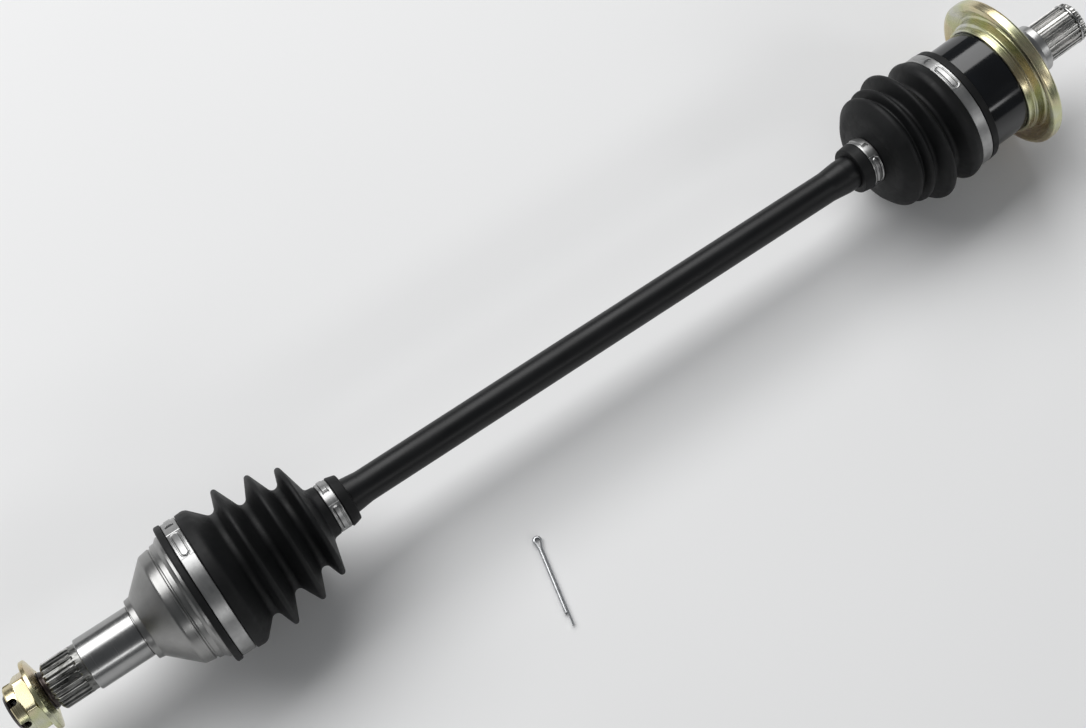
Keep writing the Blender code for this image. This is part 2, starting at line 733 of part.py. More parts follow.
def inner_boot():
    """Bent with the joint: its small end follows the shaft and its large end follows the raised housing."""
    sleeves = [
        (INNER_BOOT_START - 1, INNER_TAIL_X + SMALL_CLAMP_W + 1, INNER_NECK_R + BOOT_GAP),
        (-INNER_MOUTH - 1, 1, INNER_HOUSING_R + BOOT_GAP),
    ]
    outline = lined(inner_boot_outline(), sleeves)
    bm = skin([circle(x, r, BOOT_SIDES) for x, r in outline], closed=True)
    for vertex in bm.verts:
        share = boot_share(vertex.co.x, INNER_BEND_START, INNER_BEND_END)
        vertex.co = Matrix.Rotation(-share * REST_BEND, 3, "Y") @ vertex.co
    place("inner_boot", bm, "rubber", (INNER_CENTRE, 0, 0))


INNER_BEND_START = INNER_TAIL_X + 3 * SMALL_CLAMP_W
INNER_BEND_END = -INNER_MOUTH - 2


def band_clamp(name, start, width, seat_r, pivot, ear_angle, tilt=0.0):
    """A pressed steel band with a raised lap where it is drawn tight."""
    inside = seat_r + GAP
    outside = inside + CLAMP_T
    ramp = math.radians(10)

    def lifted(x, radius, height):
        ring = []
        for i in range(FINE):
            angle = FULL_TURN * (i + 0.5) / FINE
            off = abs((angle - ear_angle + math.pi) % FULL_TURN - math.pi)
            rise = max(0.0, min(1.0, (EAR_SPAN / 2 + ramp - off) / ramp))
            ring.append(polar(x, radius + height * rise, angle))
        return ring

    end = start + width
    edge = 0.3
    rings = [
        circle(start, inside, FINE),
        lifted(start, outside - edge, EAR_H),
        lifted(start + edge, outside, EAR_H),
        lifted(start + width * 0.3, outside, EAR_H * 1.6),
        lifted(end - width * 0.3, outside, EAR_H * 1.6),
        lifted(end - edge, outside, EAR_H),
        lifted(end, outside - edge, EAR_H),
        circle(end, inside, FINE),
    ]
    place(name, skin(rings, closed=True), "stainless", pivot, tilt)


# Gearbox side


def inner_joint_housing():
    """A cup with six straight ball grooves, closed by a wall that carries the collar and the splined stub."""
    sizes = INNER
    wall = INNER_FLOOR + END_WALL
    collar_end = wall + COLLAR_L
    stub_end = collar_end + STUB_L
    clip_x = stub_end - 4.5
    clip_half = CLIP_WIRE_R + GAP
    outside = [
        circle(-INNER_MOUTH, INNER_HOUSING_R - 1.2, FINE),
        circle(-INNER_MOUTH + 1.2, INNER_HOUSING_R, FINE),
        circle(wall - 3.0, INNER_HOUSING_R, FINE),
        circle(wall - 1.0, INNER_HOUSING_R - 2.0, FINE),
        circle(wall + 1.4, INNER_HOUSING_R - 8.0, FINE),
        circle(wall + 5.5, COLLAR_R + 4.4, FINE),
        circle(wall + 8.5, COLLAR_R + 1.0, FINE),
        circle(wall + 10.5, COLLAR_R, FINE),
        circle(collar_end - 0.8, COLLAR_R, FINE),
        circle(collar_end, COLLAR_R - 0.8, FINE),
        toothed(collar_end, STUB_ROOT_R, STUB_TIP_R, STUB_TEETH),
        toothed(clip_x - clip_half, STUB_ROOT_R, STUB_TIP_R, STUB_TEETH),
        circle(clip_x - clip_half, STUB_ROOT_R - 0.4, FINE),
        circle(clip_x + clip_half, STUB_ROOT_R - 0.4, FINE),
        toothed(clip_x + clip_half, STUB_ROOT_R, STUB_TIP_R, STUB_TEETH),
        toothed(stub_end - 1.3, STUB_ROOT_R, STUB_TIP_R, STUB_TEETH),
        toothed(stub_end, STUB_ROOT_R - 1.0, STUB_ROOT_R - 0.6, STUB_TEETH),
    ]
    section = {"pitch_r": sizes["pitch"], "depth": sizes["depth"], "width": sizes["width"]}
    bore = grooved(0, sizes["land"], first=INNER_FIRST_BALL, outward=True, **section)
    wide = grooved(0, sizes["land"] + 1.4, first=INNER_FIRST_BALL, outward=True, **section)
    groove_half = RING_WIRE_R + 0.5

    def at(ring, x):
        return [Vector((x, p.y, p.z)) for p in ring]

    inside = [
        at(bore, INNER_FLOOR),
        at(bore, -RING_OFFSET + groove_half + 0.2),
        at(wide, -RING_OFFSET + groove_half),
        at(wide, -RING_OFFSET - groove_half),
        at(bore, -RING_OFFSET - groove_half - 0.2),
        at(bore, -INNER_MOUTH),
    ]
    mesh = skin(outside[::-1] + inside[::-1])
    place("inner_joint_housing", mesh, "black_paint", (INNER_CENTRE, 0, 0), REST_BEND)
    where = {"pivot": (INNER_CENTRE, 0, 0), "tilt": REST_BEND}
    wire_ring("inner_retaining_ring", "hard_steel", -RING_OFFSET, sizes["land"] + 0.1, RING_WIRE_R, 0.5, **where)
    wire_ring("stub_circlip", "hard_steel", clip_x, STUB_ROOT_R + 0.75, CLIP_WIRE_R, 0.5, **where)


def shield_outline():
    """The pressed shield about the joint centre: a collar in two steps, a web that leans forwards and a thick
    rounded rim."""
    bore = SHIELD_BORE
    front = SHIELD_X
    web_in = bore + 4.6
    web_out = SHIELD_R - 4.2
    return rounded(
        [
            (front, bore),
            (front, bore + 1.3, 0.4),
            (front + 4.3, bore + 1.3, 0),
            (front + 4.8, bore + 2.9, 0.5),
            (front + 9.9, bore + 3.1, 1.0),
            (front + 11.0, web_in, 0.8),
            (front + 7.2, web_out, 0.6),
            (front + 6.5, SHIELD_R - 2.6, 0.5),
            (front + 7.6, SHIELD_R, 1.5),
            (front + 13.4, SHIELD_R, 1.6),
            (front + 14.4, SHIELD_R - 3.0, 0.8),
            (front + 7.2 + SHIELD_T, web_out + 0.4, 0.8),
            (front + 11.0 + SHIELD_T, web_in + 0.8, 1.0),
            (front + 15.5, bore + 3.0, 0.8),
            (front + 15.5, bore),
        ],
        steps=1,
    )


def dust_shield():
    turned("dust_shield", shield_outline(), "yellow_zinc", (INNER_CENTRE, 0, 0), REST_BEND, ROUND, closed=True)


def table_height():
    """The height of the table that the shield's rim stands on when the joint is bent."""
    side = math.cos(math.pi / ROUND)
    return min(x * math.sin(REST_BEND) - r * side * math.cos(REST_BEND) for x, r in shield_outline())


# Split pin


def pin_path():
    """The centreline of the pin's one half-round wire, with the side it bends towards: up the short leg, round the
    eye, and down the long leg."""
    leg = PIN_LEG_R * 0.424 + PIN_LEG_GAP / 2
    eye_r = PIN_EYE_W / 2 - PIN_LEG_R * 0.576
    start = PIN_EYE_L - eye_r - PIN_LEG_R
    turns = 14
    opening = math.radians(35)
    path = [(PIN_SHORT_LEG, -leg), (PIN_SHORT_LEG * 0.5, -leg), (0.0, -leg)]
    for i in range(turns + 1):
        angle = -math.pi / 2 + opening - (math.pi + 2 * opening) * i / turns
        path.append((-start + eye_r * math.cos(angle), eye_r * math.sin(angle)))
    path += [(0.0, leg), (PIN_LONG_LEG * 0.5, leg), (PIN_LONG_LEG, leg)]
    return path


def cotter_pin():
    """Half-round wire whose flat side faces the other leg, lying flat on the table."""
    path = [Vector((a, b)) for a, b in pin_path()]
    arc = 6
    heading = Matrix.Rotation(PIN_HEADING, 3, "Z")
    height = table_height() + PIN_LEG_R
    rings = []
    for i, here in enumerate(path):
        before = path[max(0, i - 1)]
        after = path[min(len(path) - 1, i + 1)]
        along = (after - before).normalized()
        outward = Vector((-along.y, along.x)) * -1
        ring = []
        for k in range(arc + 1):
            turn = math.pi * (k / arc - 0.5)
            across = PIN_LEG_R * (math.cos(turn) - 0.424)
            flat = here + outward * -across
            ring.append(Vector((flat.x, flat.y, PIN_LEG_R * math.sin(turn))))
        rings.append([heading @ p + Vector((*PIN_PLACE, height)) for p in ring])
    place("cotter_pin", skin(rings), "zinc")


def build():
    clear_scene()
    outer = (OUTER_CENTRE, 0, 0)
    inner = (INNER_CENTRE, 0, 0)
    axle_shaft()
    outer_joint_housing()
    hub_nut()
    hub_washer()
    joint_insides("outer", OUTER, OUTER_FIRST_BALL, OUTER_CENTRE, -1)
    joint_insides("inner", INNER, INNER_FIRST_BALL, INNER_CENTRE, 1, REST_BEND / 2)
    outer_boot()
    inner_boot()
    band_clamp("outer_boot_clamp_large", OUTER_CLAMP_X, BIG_CLAMP_W, OUTER_SEAT_R, outer, math.radians(55))
    band_clamp("outer_boot_clamp_small", OUTER_TAIL_X, SMALL_CLAMP_W, OUTER_TAIL_R, outer, math.radians(105))
    band_clamp("inner_boot_clamp_small", INNER_TAIL_X, SMALL_CLAMP_W, INNER_TAIL_R, inner, math.radians(85))
    band_clamp(
        "inner_boot_clamp_large", INNER_CLAMP_X, INNER_CLAMP_W, INNER_SEAT_R, inner, math.radians(65), REST_BEND
    )
    inner_joint_housing()
    dust_shield()
    cotter_pin()


build()
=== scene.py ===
"""The CV axle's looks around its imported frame: a fine mesh for every piece that shows, procedural materials, a plain
pale floor, soft studio light and the camera.

Sizes are in millimetres. Each turned piece is made along X about its own pivot, which is the wheel stub's end face or
a joint's centre, and the gearbox side is raised by the rest bend. Angles round the axis run from +Y towards +Z."""

import json
import math

import bmesh
import bpy
from mathutils import Matrix, Vector


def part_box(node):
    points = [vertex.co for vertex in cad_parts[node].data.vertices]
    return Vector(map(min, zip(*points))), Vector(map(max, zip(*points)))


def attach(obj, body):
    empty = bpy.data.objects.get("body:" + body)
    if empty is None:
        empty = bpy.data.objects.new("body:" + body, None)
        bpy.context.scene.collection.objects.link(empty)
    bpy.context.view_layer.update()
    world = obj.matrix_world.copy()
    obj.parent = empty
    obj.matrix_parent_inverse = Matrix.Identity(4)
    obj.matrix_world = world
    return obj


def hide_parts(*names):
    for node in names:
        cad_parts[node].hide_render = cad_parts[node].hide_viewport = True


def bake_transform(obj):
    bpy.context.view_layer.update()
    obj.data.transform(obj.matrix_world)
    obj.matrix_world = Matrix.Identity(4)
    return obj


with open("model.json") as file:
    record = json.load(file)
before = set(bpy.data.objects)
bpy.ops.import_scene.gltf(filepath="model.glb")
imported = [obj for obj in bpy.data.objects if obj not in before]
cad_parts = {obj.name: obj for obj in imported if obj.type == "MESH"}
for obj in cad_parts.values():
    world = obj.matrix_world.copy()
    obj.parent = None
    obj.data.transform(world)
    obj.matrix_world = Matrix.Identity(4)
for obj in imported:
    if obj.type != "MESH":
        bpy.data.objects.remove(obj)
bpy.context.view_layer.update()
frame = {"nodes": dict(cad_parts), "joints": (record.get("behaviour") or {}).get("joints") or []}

MM = 0.001
FULL_TURN = 2 * math.pi
SIDES = 180
CREASE = math.radians(32)

JOINTS = {joint["name"]: joint for joint in frame["joints"]}
STUB_FACE = Vector((0, 0, 0))
WHEEL_JOINT = Vector(JOINTS["outer_pitch"]["pos_m"])
GEARBOX_JOINT = Vector(JOINTS["inner_pitch"]["pos_m"])
PLUNGE_AXIS = Vector(JOINTS["plunge"]["axis"])
REST_BEND = math.atan2(PLUNGE_AXIS.z, PLUNGE_AXIS.x)
FLOOR_Z = min(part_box(name)[0].z for name in frame["nodes"])

# Wheel stub, from its end face
THREAD_R = 10.8
THREAD_DEPTH = 0.85
THREAD_PITCH = 1.5
THREAD_L = 23.0
THREAD_SIDES = 72
SPLINE_TIP_R = 13.6
SPLINE_ROOT_R = 12.3
SPLINE_TEETH = 24
SPLINE_END = 40.0
JOURNAL_START = 43.5
JOURNAL_R = 15.0
BELL_DEPTH = 33.5
SHOULDER_R = 17.8
BELL_NECK_R = 20.0
BELL_R = 37.0
BELL_MOUTH = 12.95
PIN_HOLE_R = 1.8
PIN_HOLE_X = 5.0

# Nut and washer
NUT_START = 2.0
NUT_CROWN_L = 5.5
NUT_HEX_L = 7.5
NUT_APOTHEM = 14.8
NUT_CROWN_R = 14.0
NUT_SLOT_W = 4.2
NUT_SLOTS = 6
NUT_TURN = math.radians(30)
WASHER_START = 15.3
WASHER_R = 20.4
WASHER_RIM_T = 2.4
WASHER_T = 4.5
WASHER_FACE_R = 13.5

# Shaft
BAR_R = 9.35
RACE_SEAT_R = 10.0
OUTER_NECK_R = 10.4
INNER_NECK_R = 10.6

# Boots and clamps
BOOT_GAP = 0.5
BOOT_WALL = 2.0
OUTER_SEAT_R = BELL_R + BOOT_GAP + BOOT_WALL
OUTER_TAIL_R = 13.5
OUTER_TAIL_X = 81.2
OUTER_BOOT_END = 94.2
OUTER_CLAMP_X = 2.9
INNER_HOUSING_R = 34.75
INNER_SEAT_R = INNER_HOUSING_R + BOOT_GAP + BOOT_WALL
INNER_TAIL_R = 13.7
INNER_TAIL_X = -90.3
INNER_BOOT_START = -97.5
INNER_CLAMP_X = -26.5
INNER_MOUTH = -29.0
BIG_CLAMP_W = 8.2
INNER_CLAMP_W = 7.0
SMALL_CLAMP_W = 6.6
CLAMP_T = 0.9
INNER_BEND_START = -70.5
INNER_BEND_END = -31.0

# Gearbox side, from the joint's centre
HOUSING_END = 31.0
COLLAR_R = 15.75
COLLAR_END = 46.5
STUB_END = 75.8
STUB_TIP_R = 12.95
STUB_ROOT_R = 11.7
STUB_TEETH = 25
CIRCLIP_X = STUB_END - 4.5
SHIELD_FRONT = 9.7
SHIELD_R = 49.4
SHIELD_T = 3.2


# Meshes


def polar(x, radius, angle):
    return Vector((x, radius * math.cos(angle), radius * math.sin(angle)))


def circle(x, radius, sides=SIDES):
    return [polar(x, radius, FULL_TURN * i / sides) for i in range(sides)]


def rounded(points, steps=8):
    """An outline whose corners are rounded: each point is (x, radius) or (x, radius, corner radius)."""
    made = []
    for i, point in enumerate(points):
        here = Vector(point[:2])
        corner = point[2] if len(point) > 2 else 0.0
        if not corner or i in (0, len(points) - 1):
            made.append(tuple(here))
            continue
        back = Vector(points[i - 1][:2]) - here
        ahead = Vector(points[i + 1][:2]) - here
        half_angle = back.angle(ahead) / 2
        reach = min(corner / math.tan(half_angle), back.length * 0.48, ahead.length * 0.48)
        inwards = (back.normalized() + ahead.normalized()).normalized()
        centre = here + inwards * (reach / math.cos(half_angle))
        start = here + back.normalized() * reach - centre
        end = here + ahead.normalized() * reach - centre
        for k in range(steps + 1):
            turn = start.angle_signed(end) * -k / steps
            made.append(tuple(centre + Matrix.Rotation(turn, 2) @ start))
    return made


def apex(before, x, radius, after, tip):
    """The corner that rounds off to a fold's tip: before and after are the valleys beside it, radius is the height
    that the tip reaches, and tip is how round it is."""
    rise = tip
    for _ in range(8):
        here = Vector((x, radius + rise))
        half_angle = (Vector(before) - here).angle(Vector(after) - here) / 2
        rise = tip * (1 / math.sin(half_angle) - 1)
    return (x, radius + rise, tip)


def skin(rings, closed=False):
    """A mesh through rings of equally many points. Closed joins the last ring to the first; otherwise both ends
    are capped."""
    bm = bmesh.new()
    made = [[bm.verts.new(p) for p in ring] for ring in rings]
    pairs = list(zip(made, made[1:]))
    if closed:
        pairs.append((made[-1], made[0]))
    for first, second in pairs:
        for i in range(len(first)):
            j = (i + 1) % len(first)
            bm.faces.new((first[i], first[j], second[j], second[i]))
    if not closed:
        bm.faces.new(made[0])
        bm.faces.new(made[-1])
    return bm


def piece(name, bm, material, pivot=STUB_FACE, bend=0.0):
    """An object from a mesh in millimetres about its pivot, raised by bend towards +X."""
    bmesh.ops.recalc_face_normals(bm, faces=bm.faces[:])
    if bm.calc_volume(signed=True) < 0:
        bmesh.ops.reverse_faces(bm, faces=bm.faces[:])
    bm.transform(Matrix.Scale(MM, 4))
    mesh = bpy.data.meshes.new(name)
    bm.to_mesh(mesh)
    bm.free()
    mesh.shade_smooth()
    mesh.set_sharp_from_angle(angle=CREASE)
    mesh.materials.append(material)
    made = bpy.data.objects.new(name, mesh)
    made.location = pivot
    made.rotation_euler = (0, -bend, 0)
    bpy.context.scene.collection.objects.link(made)
    return made


def turned(name, outline, material, pivot=STUB_FACE, bend=0.0, closed=False, sides=SIDES):
    """A turned piece from its outline of (x, radius) points."""
    return piece(name, skin([circle(x, r, sides) for x, r in outline], closed), material, pivot, bend)


def carve(target, bm, name):
    """Cuts a closed mesh, in the target's own millimetres, out of the target."""
    tool = piece(name, bm, target.data.materials[0], target.location, -target.rotation_euler.y)
    cut = target.modifiers.new(name, "BOOLEAN")
    cut.operation = "DIFFERENCE"
    cut.solver = "EXACT"
    cut.object = tool
    graph = bpy.context.evaluated_depsgraph_get()
    carved = bpy.data.meshes.new_from_object(target.evaluated_get(graph))
    target.modifiers.remove(cut)
    target.data = carved
    carved.shade_smooth()
    carved.set_sharp_from_angle(angle=CREASE)
    bpy.data.objects.remove(tool)


def rod_across(radius, half_length, x, angle, sides=40):
    """A rod through the axis at x, pointing at the given angle round it."""
    out = Vector((0, math.cos(angle), math.sin(angle)))
    side = Vector((0, -math.sin(angle), math.cos(angle)))
    along = Vector((1, 0, 0))
    rings = []
    for end in (-half_length, half_length):
        centre = along * x + out * end
        turns = [FULL_TURN * i / sides for i in range(sides)]
        rings.append([centre + radius * (along * math.cos(a) + side * math.sin(a)) for a in turns])
    return skin(rings)


def place(obj, body, slot, *nodes):
    """The piece rides on a body and stands for these CAD nodes, which it hides. Slot is not used."""
    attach(obj, body)
    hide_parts(*nodes)


# Materials


class Nodes:
    """A material's node tree, with short calls for the nodes used here."""

    def __init__(self, name):
        self.material = bpy.data.materials.new(name)
        self.material.use_nodes = True
        self.tree = self.material.node_tree
        self.shader = self.tree.nodes["Principled BSDF"]
        self.place = self.tree.nodes.new("ShaderNodeTexCoord").outputs["Object"]

    def join(self, source, target):
        self.tree.links.new(source, target)

    def noise(self, scale, detail=4.0, roughness=0.5, stretch=(1, 1, 1)):
        """Noise of this many features per metre, stretched along the piece's own axes."""
        mapping = self.tree.nodes.new("ShaderNodeMapping")
        mapping.inputs["Scale"].default_value = stretch
        self.join(self.place, mapping.inputs["Vector"])
        made = self.tree.nodes.new("ShaderNodeTexNoise")
        made.inputs["Scale"].default_value = scale
        made.inputs["Detail"].default_value = detail
        made.inputs["Roughness"].default_value = roughness
        self.join(mapping.outputs["Vector"], made.inputs["Vector"])
        return made.outputs["Fac"]

    def spread(self, source, low, high, start=0.3, end=0.7):
        """Values from start to end of the source spread over low to high."""
        made = self.tree.nodes.new("ShaderNodeMapRange")
        made.inputs["From Min"].default_value = start
        made.inputs["From Max"].default_value = end
        made.inputs["To Min"].default_value = low
        made.inputs["To Max"].default_value = high
        self.join(source, made.inputs["Value"])
        return made.outputs["Result"]

    def colours(self, source, stops):
        """A ramp of colours, given as (position, colour)."""
        made = self.tree.nodes.new("ShaderNodeValToRGB")
        ramp = made.color_ramp
        while len(ramp.elements) < len(stops):
            ramp.elements.new(0.5)
        for element, (position, colour) in zip(ramp.elements, stops):
            element.position = position
            element.color = (*colour, 1)
        self.join(source, made.inputs["Fac"])
        return made.outputs["Color"]

    def bump(self, source, height, strength=1.0, below=None):
        """A bump of this height in millimetres."""
        made = self.tree.nodes.new("ShaderNodeBump")
        made.inputs["Distance"].default_value = height * MM
        made.inputs["Strength"].default_value = strength
        self.join(source, made.inputs["Height"])
        if below:
            self.join(below, made.inputs["Normal"])
        return made.outputs["Normal"]

    def set(self, values):
        for socket, value in values.items():
            self.shader.inputs[socket].default_value = value


def metal(name, dark, light, rough, rings=0.0, blotch=60, ring_scale=2500, streak=(1, 0.005, 0.005)):
    """Bare metal: cloudy colour, uneven gloss and fine turning marks round the axis."""
    m = Nodes(name)
    cloud = m.noise(blotch, 6, 0.6)
    m.join(m.colours(cloud, [(0.3, dark), (0.7, light)]), m.shader.inputs["Base Color"])
    marks = m.noise(ring_scale, 3, 0.6, streak)
    m.join(m.spread(marks, rough[0], rough[1], 0.25, 0.75), m.shader.inputs["Roughness"])
    fine = m.noise(9000, 2, 0.5)
    m.join(m.bump(marks, rings, 1.0, m.bump(fine, 0.0015)), m.shader.inputs["Normal"])
    m.set({"Metallic": 1.0})
    return m.material


def zinc_plate(name):
    """Yellow passivated zinc: straw gold that drifts to green, rose and pale blue, over fine drawn metal."""
    m = Nodes(name)
    drift = m.noise(26, 3, 0.55, (1, 1, 1))
    hues = m.colours(
        drift,
        [
            (0.30, (0.56, 0.44, 0.36)),
            (0.42, (0.60, 0.50, 0.30)),
            (0.50, (0.66, 0.60, 0.40)),
            (0.58, (0.56, 0.57, 0.34)),
            (0.70, (0.62, 0.62, 0.56)),
        ],
    )
    m.join(hues, m.shader.inputs["Base Color"])
    marks = m.noise(1800, 4, 0.6, (1, 0.05, 0.05))
    m.join(m.spread(marks, 0.20, 0.34), m.shader.inputs["Roughness"])
    grain = m.noise(5000, 3, 0.6)
    m.join(m.bump(marks, 0.004, 1.0, m.bump(grain, 0.002)), m.shader.inputs["Normal"])
    m.set({"Metallic": 1.0})
    return m.material


def oily_metal(name, dark, light, rough):
    """Splines and threads under a film of dark oil that pools in patches."""
    m = Nodes(name)
    film = m.noise(160, 5, 0.65, (0.5, 1, 1))
    m.join(m.colours(film, [(0.36, dark), (0.64, light)]), m.shader.inputs["Base Color"])
    m.join(m.spread(film, rough[0], rough[1]), m.shader.inputs["Roughness"])
    marks = m.noise(3000, 3, 0.6, (0.05, 1, 1))
    m.join(m.bump(marks, 0.006), m.shader.inputs["Normal"])
    m.set({"Metallic": 1.0, "Coat Weight": 0.35, "Coat Roughness": 0.12})
    return m.material


def rubber(name):
    """Moulded black rubber: matt, faintly mottled, with a fine grain and soft scuffs."""
    m = Nodes(name)
    mottle = m.noise(45, 5, 0.6)
    tones = m.colours(mottle, [(0.3, (0.0035, 0.0038, 0.0040)), (0.7, (0.0070, 0.0074, 0.0080))])
    m.join(tones, m.shader.inputs["Base Color"])
    scuffs = m.noise(220, 6, 0.7, (0.4, 1, 1))
    m.join(m.spread(scuffs, 0.46, 0.62), m.shader.inputs["Roughness"])
    grain = m.noise(2600, 4, 0.65)
    m.join(m.bump(scuffs, 0.02, 0.6, m.bump(grain, 0.008)), m.shader.inputs["Normal"])
    m.set({"Specular IOR Level": 0.24})
    return m.material


def paint(name, dark, light, rough, peel, specular):
    """Black paint over metal, with orange peel and small variations in gloss."""
    m = Nodes(name)
    tone = m.noise(40, 4, 0.5)
    m.join(m.colours(tone, [(0.3, dark), (0.7, light)]), m.shader.inputs["Base Color"])
    gloss = m.noise(110, 5, 0.6, (0.3, 1, 1))
    m.join(m.spread(gloss, rough[0], rough[1]), m.shader.inputs["Roughness"])
    orange_peel = m.noise(420, 3, 0.5)
    dust = m.noise(5200, 2, 0.5)
    m.join(m.bump(orange_peel, peel, 1.0, m.bump(dust, 0.001)), m.shader.inputs["Normal"])
    m.set({"Specular IOR Level": specular})
    return m.material


def floor_paint(name):
    """A matt, nearly white floor."""
    m = Nodes(name)
    tone = m.noise(3, 2, 0.4)
    m.join(m.colours(tone, [(0.3, (0.86, 0.86, 0.86)), (0.7, (0.88, 0.88, 0.88))]), m.shader.inputs["Base Color"])
    m.set({"Roughness": 0.9, "Specular IOR Level": 0.1})
    return m.material


GROUND_STEEL = metal("ground_steel", (0.30, 0.30, 0.30), (0.38, 0.38, 0.375), (0.20, 0.28), 0.002, 50, 4200)
TURNED_STEEL = metal("turned_steel", (0.25, 0.25, 0.245), (0.36, 0.355, 0.35), (0.26, 0.38), 0.006, 40, 1500)
BRIGHT_STEEL = metal("bright_steel", (0.42, 0.42, 0.42), (0.52, 0.52, 0.51), (0.28, 0.38), 0.006, 70, 2200)
BAND_STEEL = metal(
    "band_steel", (0.30, 0.30, 0.30), (0.42, 0.42, 0.415), (0.30, 0.42), 0.004, 120, 2600, (1, 0.04, 0.04)
)
HARD_STEEL = metal("hard_steel_fine", (0.40, 0.40, 0.40), (0.52, 0.52, 0.51), (0.16, 0.28), 0.003, 80)
PIN_ZINC = metal("pin_zinc", (0.50, 0.51, 0.52), (0.64, 0.65, 0.66), (0.30, 0.44), 0.004, 250, 1500, (1, 1, 1))
OILY_STEEL = oily_metal("oily_steel", (0.05, 0.05, 0.045), (0.30, 0.30, 0.29), (0.22, 0.40))
OILY_THREAD = oily_metal("oily_thread", (0.020, 0.014, 0.012), (0.075, 0.060, 0.055), (0.30, 0.50))
SPLINE_STEEL = oily_metal("spline_steel", (0.34, 0.34, 0.33), (0.58, 0.57, 0.55), (0.20, 0.34))
YELLOW_ZINC = zinc_plate("yellow_zinc_fine")
BOOT_RUBBER = rubber("boot_rubber")
SATIN_BLACK = paint("satin_black", (0.0035, 0.0038, 0.0042), (0.0060, 0.0064, 0.0072), (0.34, 0.44), 0.006, 0.3)
GLOSS_BLACK = paint("gloss_black", (0.0035, 0.004, 0.005), (0.006, 0.007, 0.009), (0.09, 0.15), 0.006, 0.5)


# Shaft


def shaft():
    """The bar, its swollen necks inside the boots' tails, and the race seats inside the joints."""
    wheel = WHEEL_JOINT.x / MM
    gearbox = GEARBOX_JOINT.x / MM
    neck = OUTER_BOOT_END + 1
    grip = INNER_BOOT_START - 2
    outline = rounded(
        [
            (wheel - 13.5, RACE_SEAT_R - 0.8),
            (wheel - 12.7, RACE_SEAT_R, 0.2),
            (wheel + 10.3, RACE_SEAT_R, 0),
            (wheel + 10.3, 12.0, 0.3),
            (wheel + 14.3, 12.0, 0.8),
            (wheel + 20.3, RACE_SEAT_R, 3.0),
            (wheel + neck - 12, OUTER_NECK_R, 4.0),
            (wheel + neck, OUTER_NECK_R, 6.0),
            (wheel + neck + 9, BAR_R, 14.0),
            (wheel + (gearbox - wheel) / 2, BAR_R, 0),
            (gearbox + grip - 16, BAR_R, 14.0),
            (gearbox + grip - 5, INNER_NECK_R - 0.1, 6.0),
            (gearbox + grip + 17, INNER_NECK_R, 4.0),
            (gearbox + grip + 26, RACE_SEAT_R, 4.0),
            (gearbox - 20.3, RACE_SEAT_R, 3.0),
            (gearbox - 14.3, 12.0, 0.8),
            (gearbox - 10.3, 12.0, 0.3),
            (gearbox - 10.3, RACE_SEAT_R, 0),
            (gearbox + 12.7, RACE_SEAT_R, 0.2),
            (gearbox + 13.5, RACE_SEAT_R - 0.8),
        ]
    )
    made = turned("shaft_bar", outline, SATIN_BLACK)
    place(made, "axle_shaft", "black_paint", "axle_shaft")


# Wheel side


def thread():
    """The stub's threaded end: a real helix, a chamfered start, a centre hole and the cross hole for the pin."""
    per_pitch = 8
    rows = int((THREAD_L + 0.4) / THREAD_PITCH * per_pitch)
    runout = THREAD_L - 2.0
    rings = [circle(1.6, 0.4, THREAD_SIDES), circle(0.0, 2.2, THREAD_SIDES)]
    for row in range(rows + 1):
        x = row * THREAD_PITCH / per_pitch
        ring = []
        for i in range(THREAD_SIDES):
            phase = (x / THREAD_PITCH - i / THREAD_SIDES) % 1
            ridge = 1 - min(1.0, max(0.0, (abs(phase - 0.5) - 0.06) / 0.38))
            cut = THREAD_DEPTH * (1 - ridge) * min(1.0, max(0.0, runout - x) / 1.5)
            if x > runout:
                cut = min(0.5, (x - runout) * 0.5)
            chamfer = max(0.0, 1.4 - x)
            angle = FULL_TURN * i / THREAD_SIDES
            ring.append(polar(x, min(THREAD_R - cut, THREAD_R - chamfer), angle))
        rings.append(ring)
    made = piece("stub_thread", skin(rings), OILY_THREAD)
    hole = rod_across(PIN_HOLE_R, THREAD_R + 3, PIN_HOLE_X, NUT_TURN + FULL_TURN / NUT_SLOTS)
    carve(made, hole, "pin_hole")
    place(made, "outer_housing", "machined_steel", "outer_joint_housing")


# A spline's tooth, as (share of the step, share of the height): the groove's floor, a flank, the flat tip, a flank
TOOTH = (
    (0.0, 0.0),
    (0.16, 0.0),
    (0.22, 0.1),
    (0.31, 0.88),
    (0.35, 1.0),
    (0.65, 1.0),
    (0.69, 0.88),
    (0.78, 0.1),
    (0.84, 0.0),
)


def toothed(x, root, tip, teeth, height=1.0):
    """A spline's section with its teeth at a share of their height."""
    step = FULL_TURN / teeth
    return [polar(x, root + (tip - root) * h * height, step * (i + f)) for i in range(teeth) for f, h in TOOTH]


def level(x, radius, teeth):
    """A circle with the points of a spline's section."""
    return toothed(x, radius, radius, teeth)


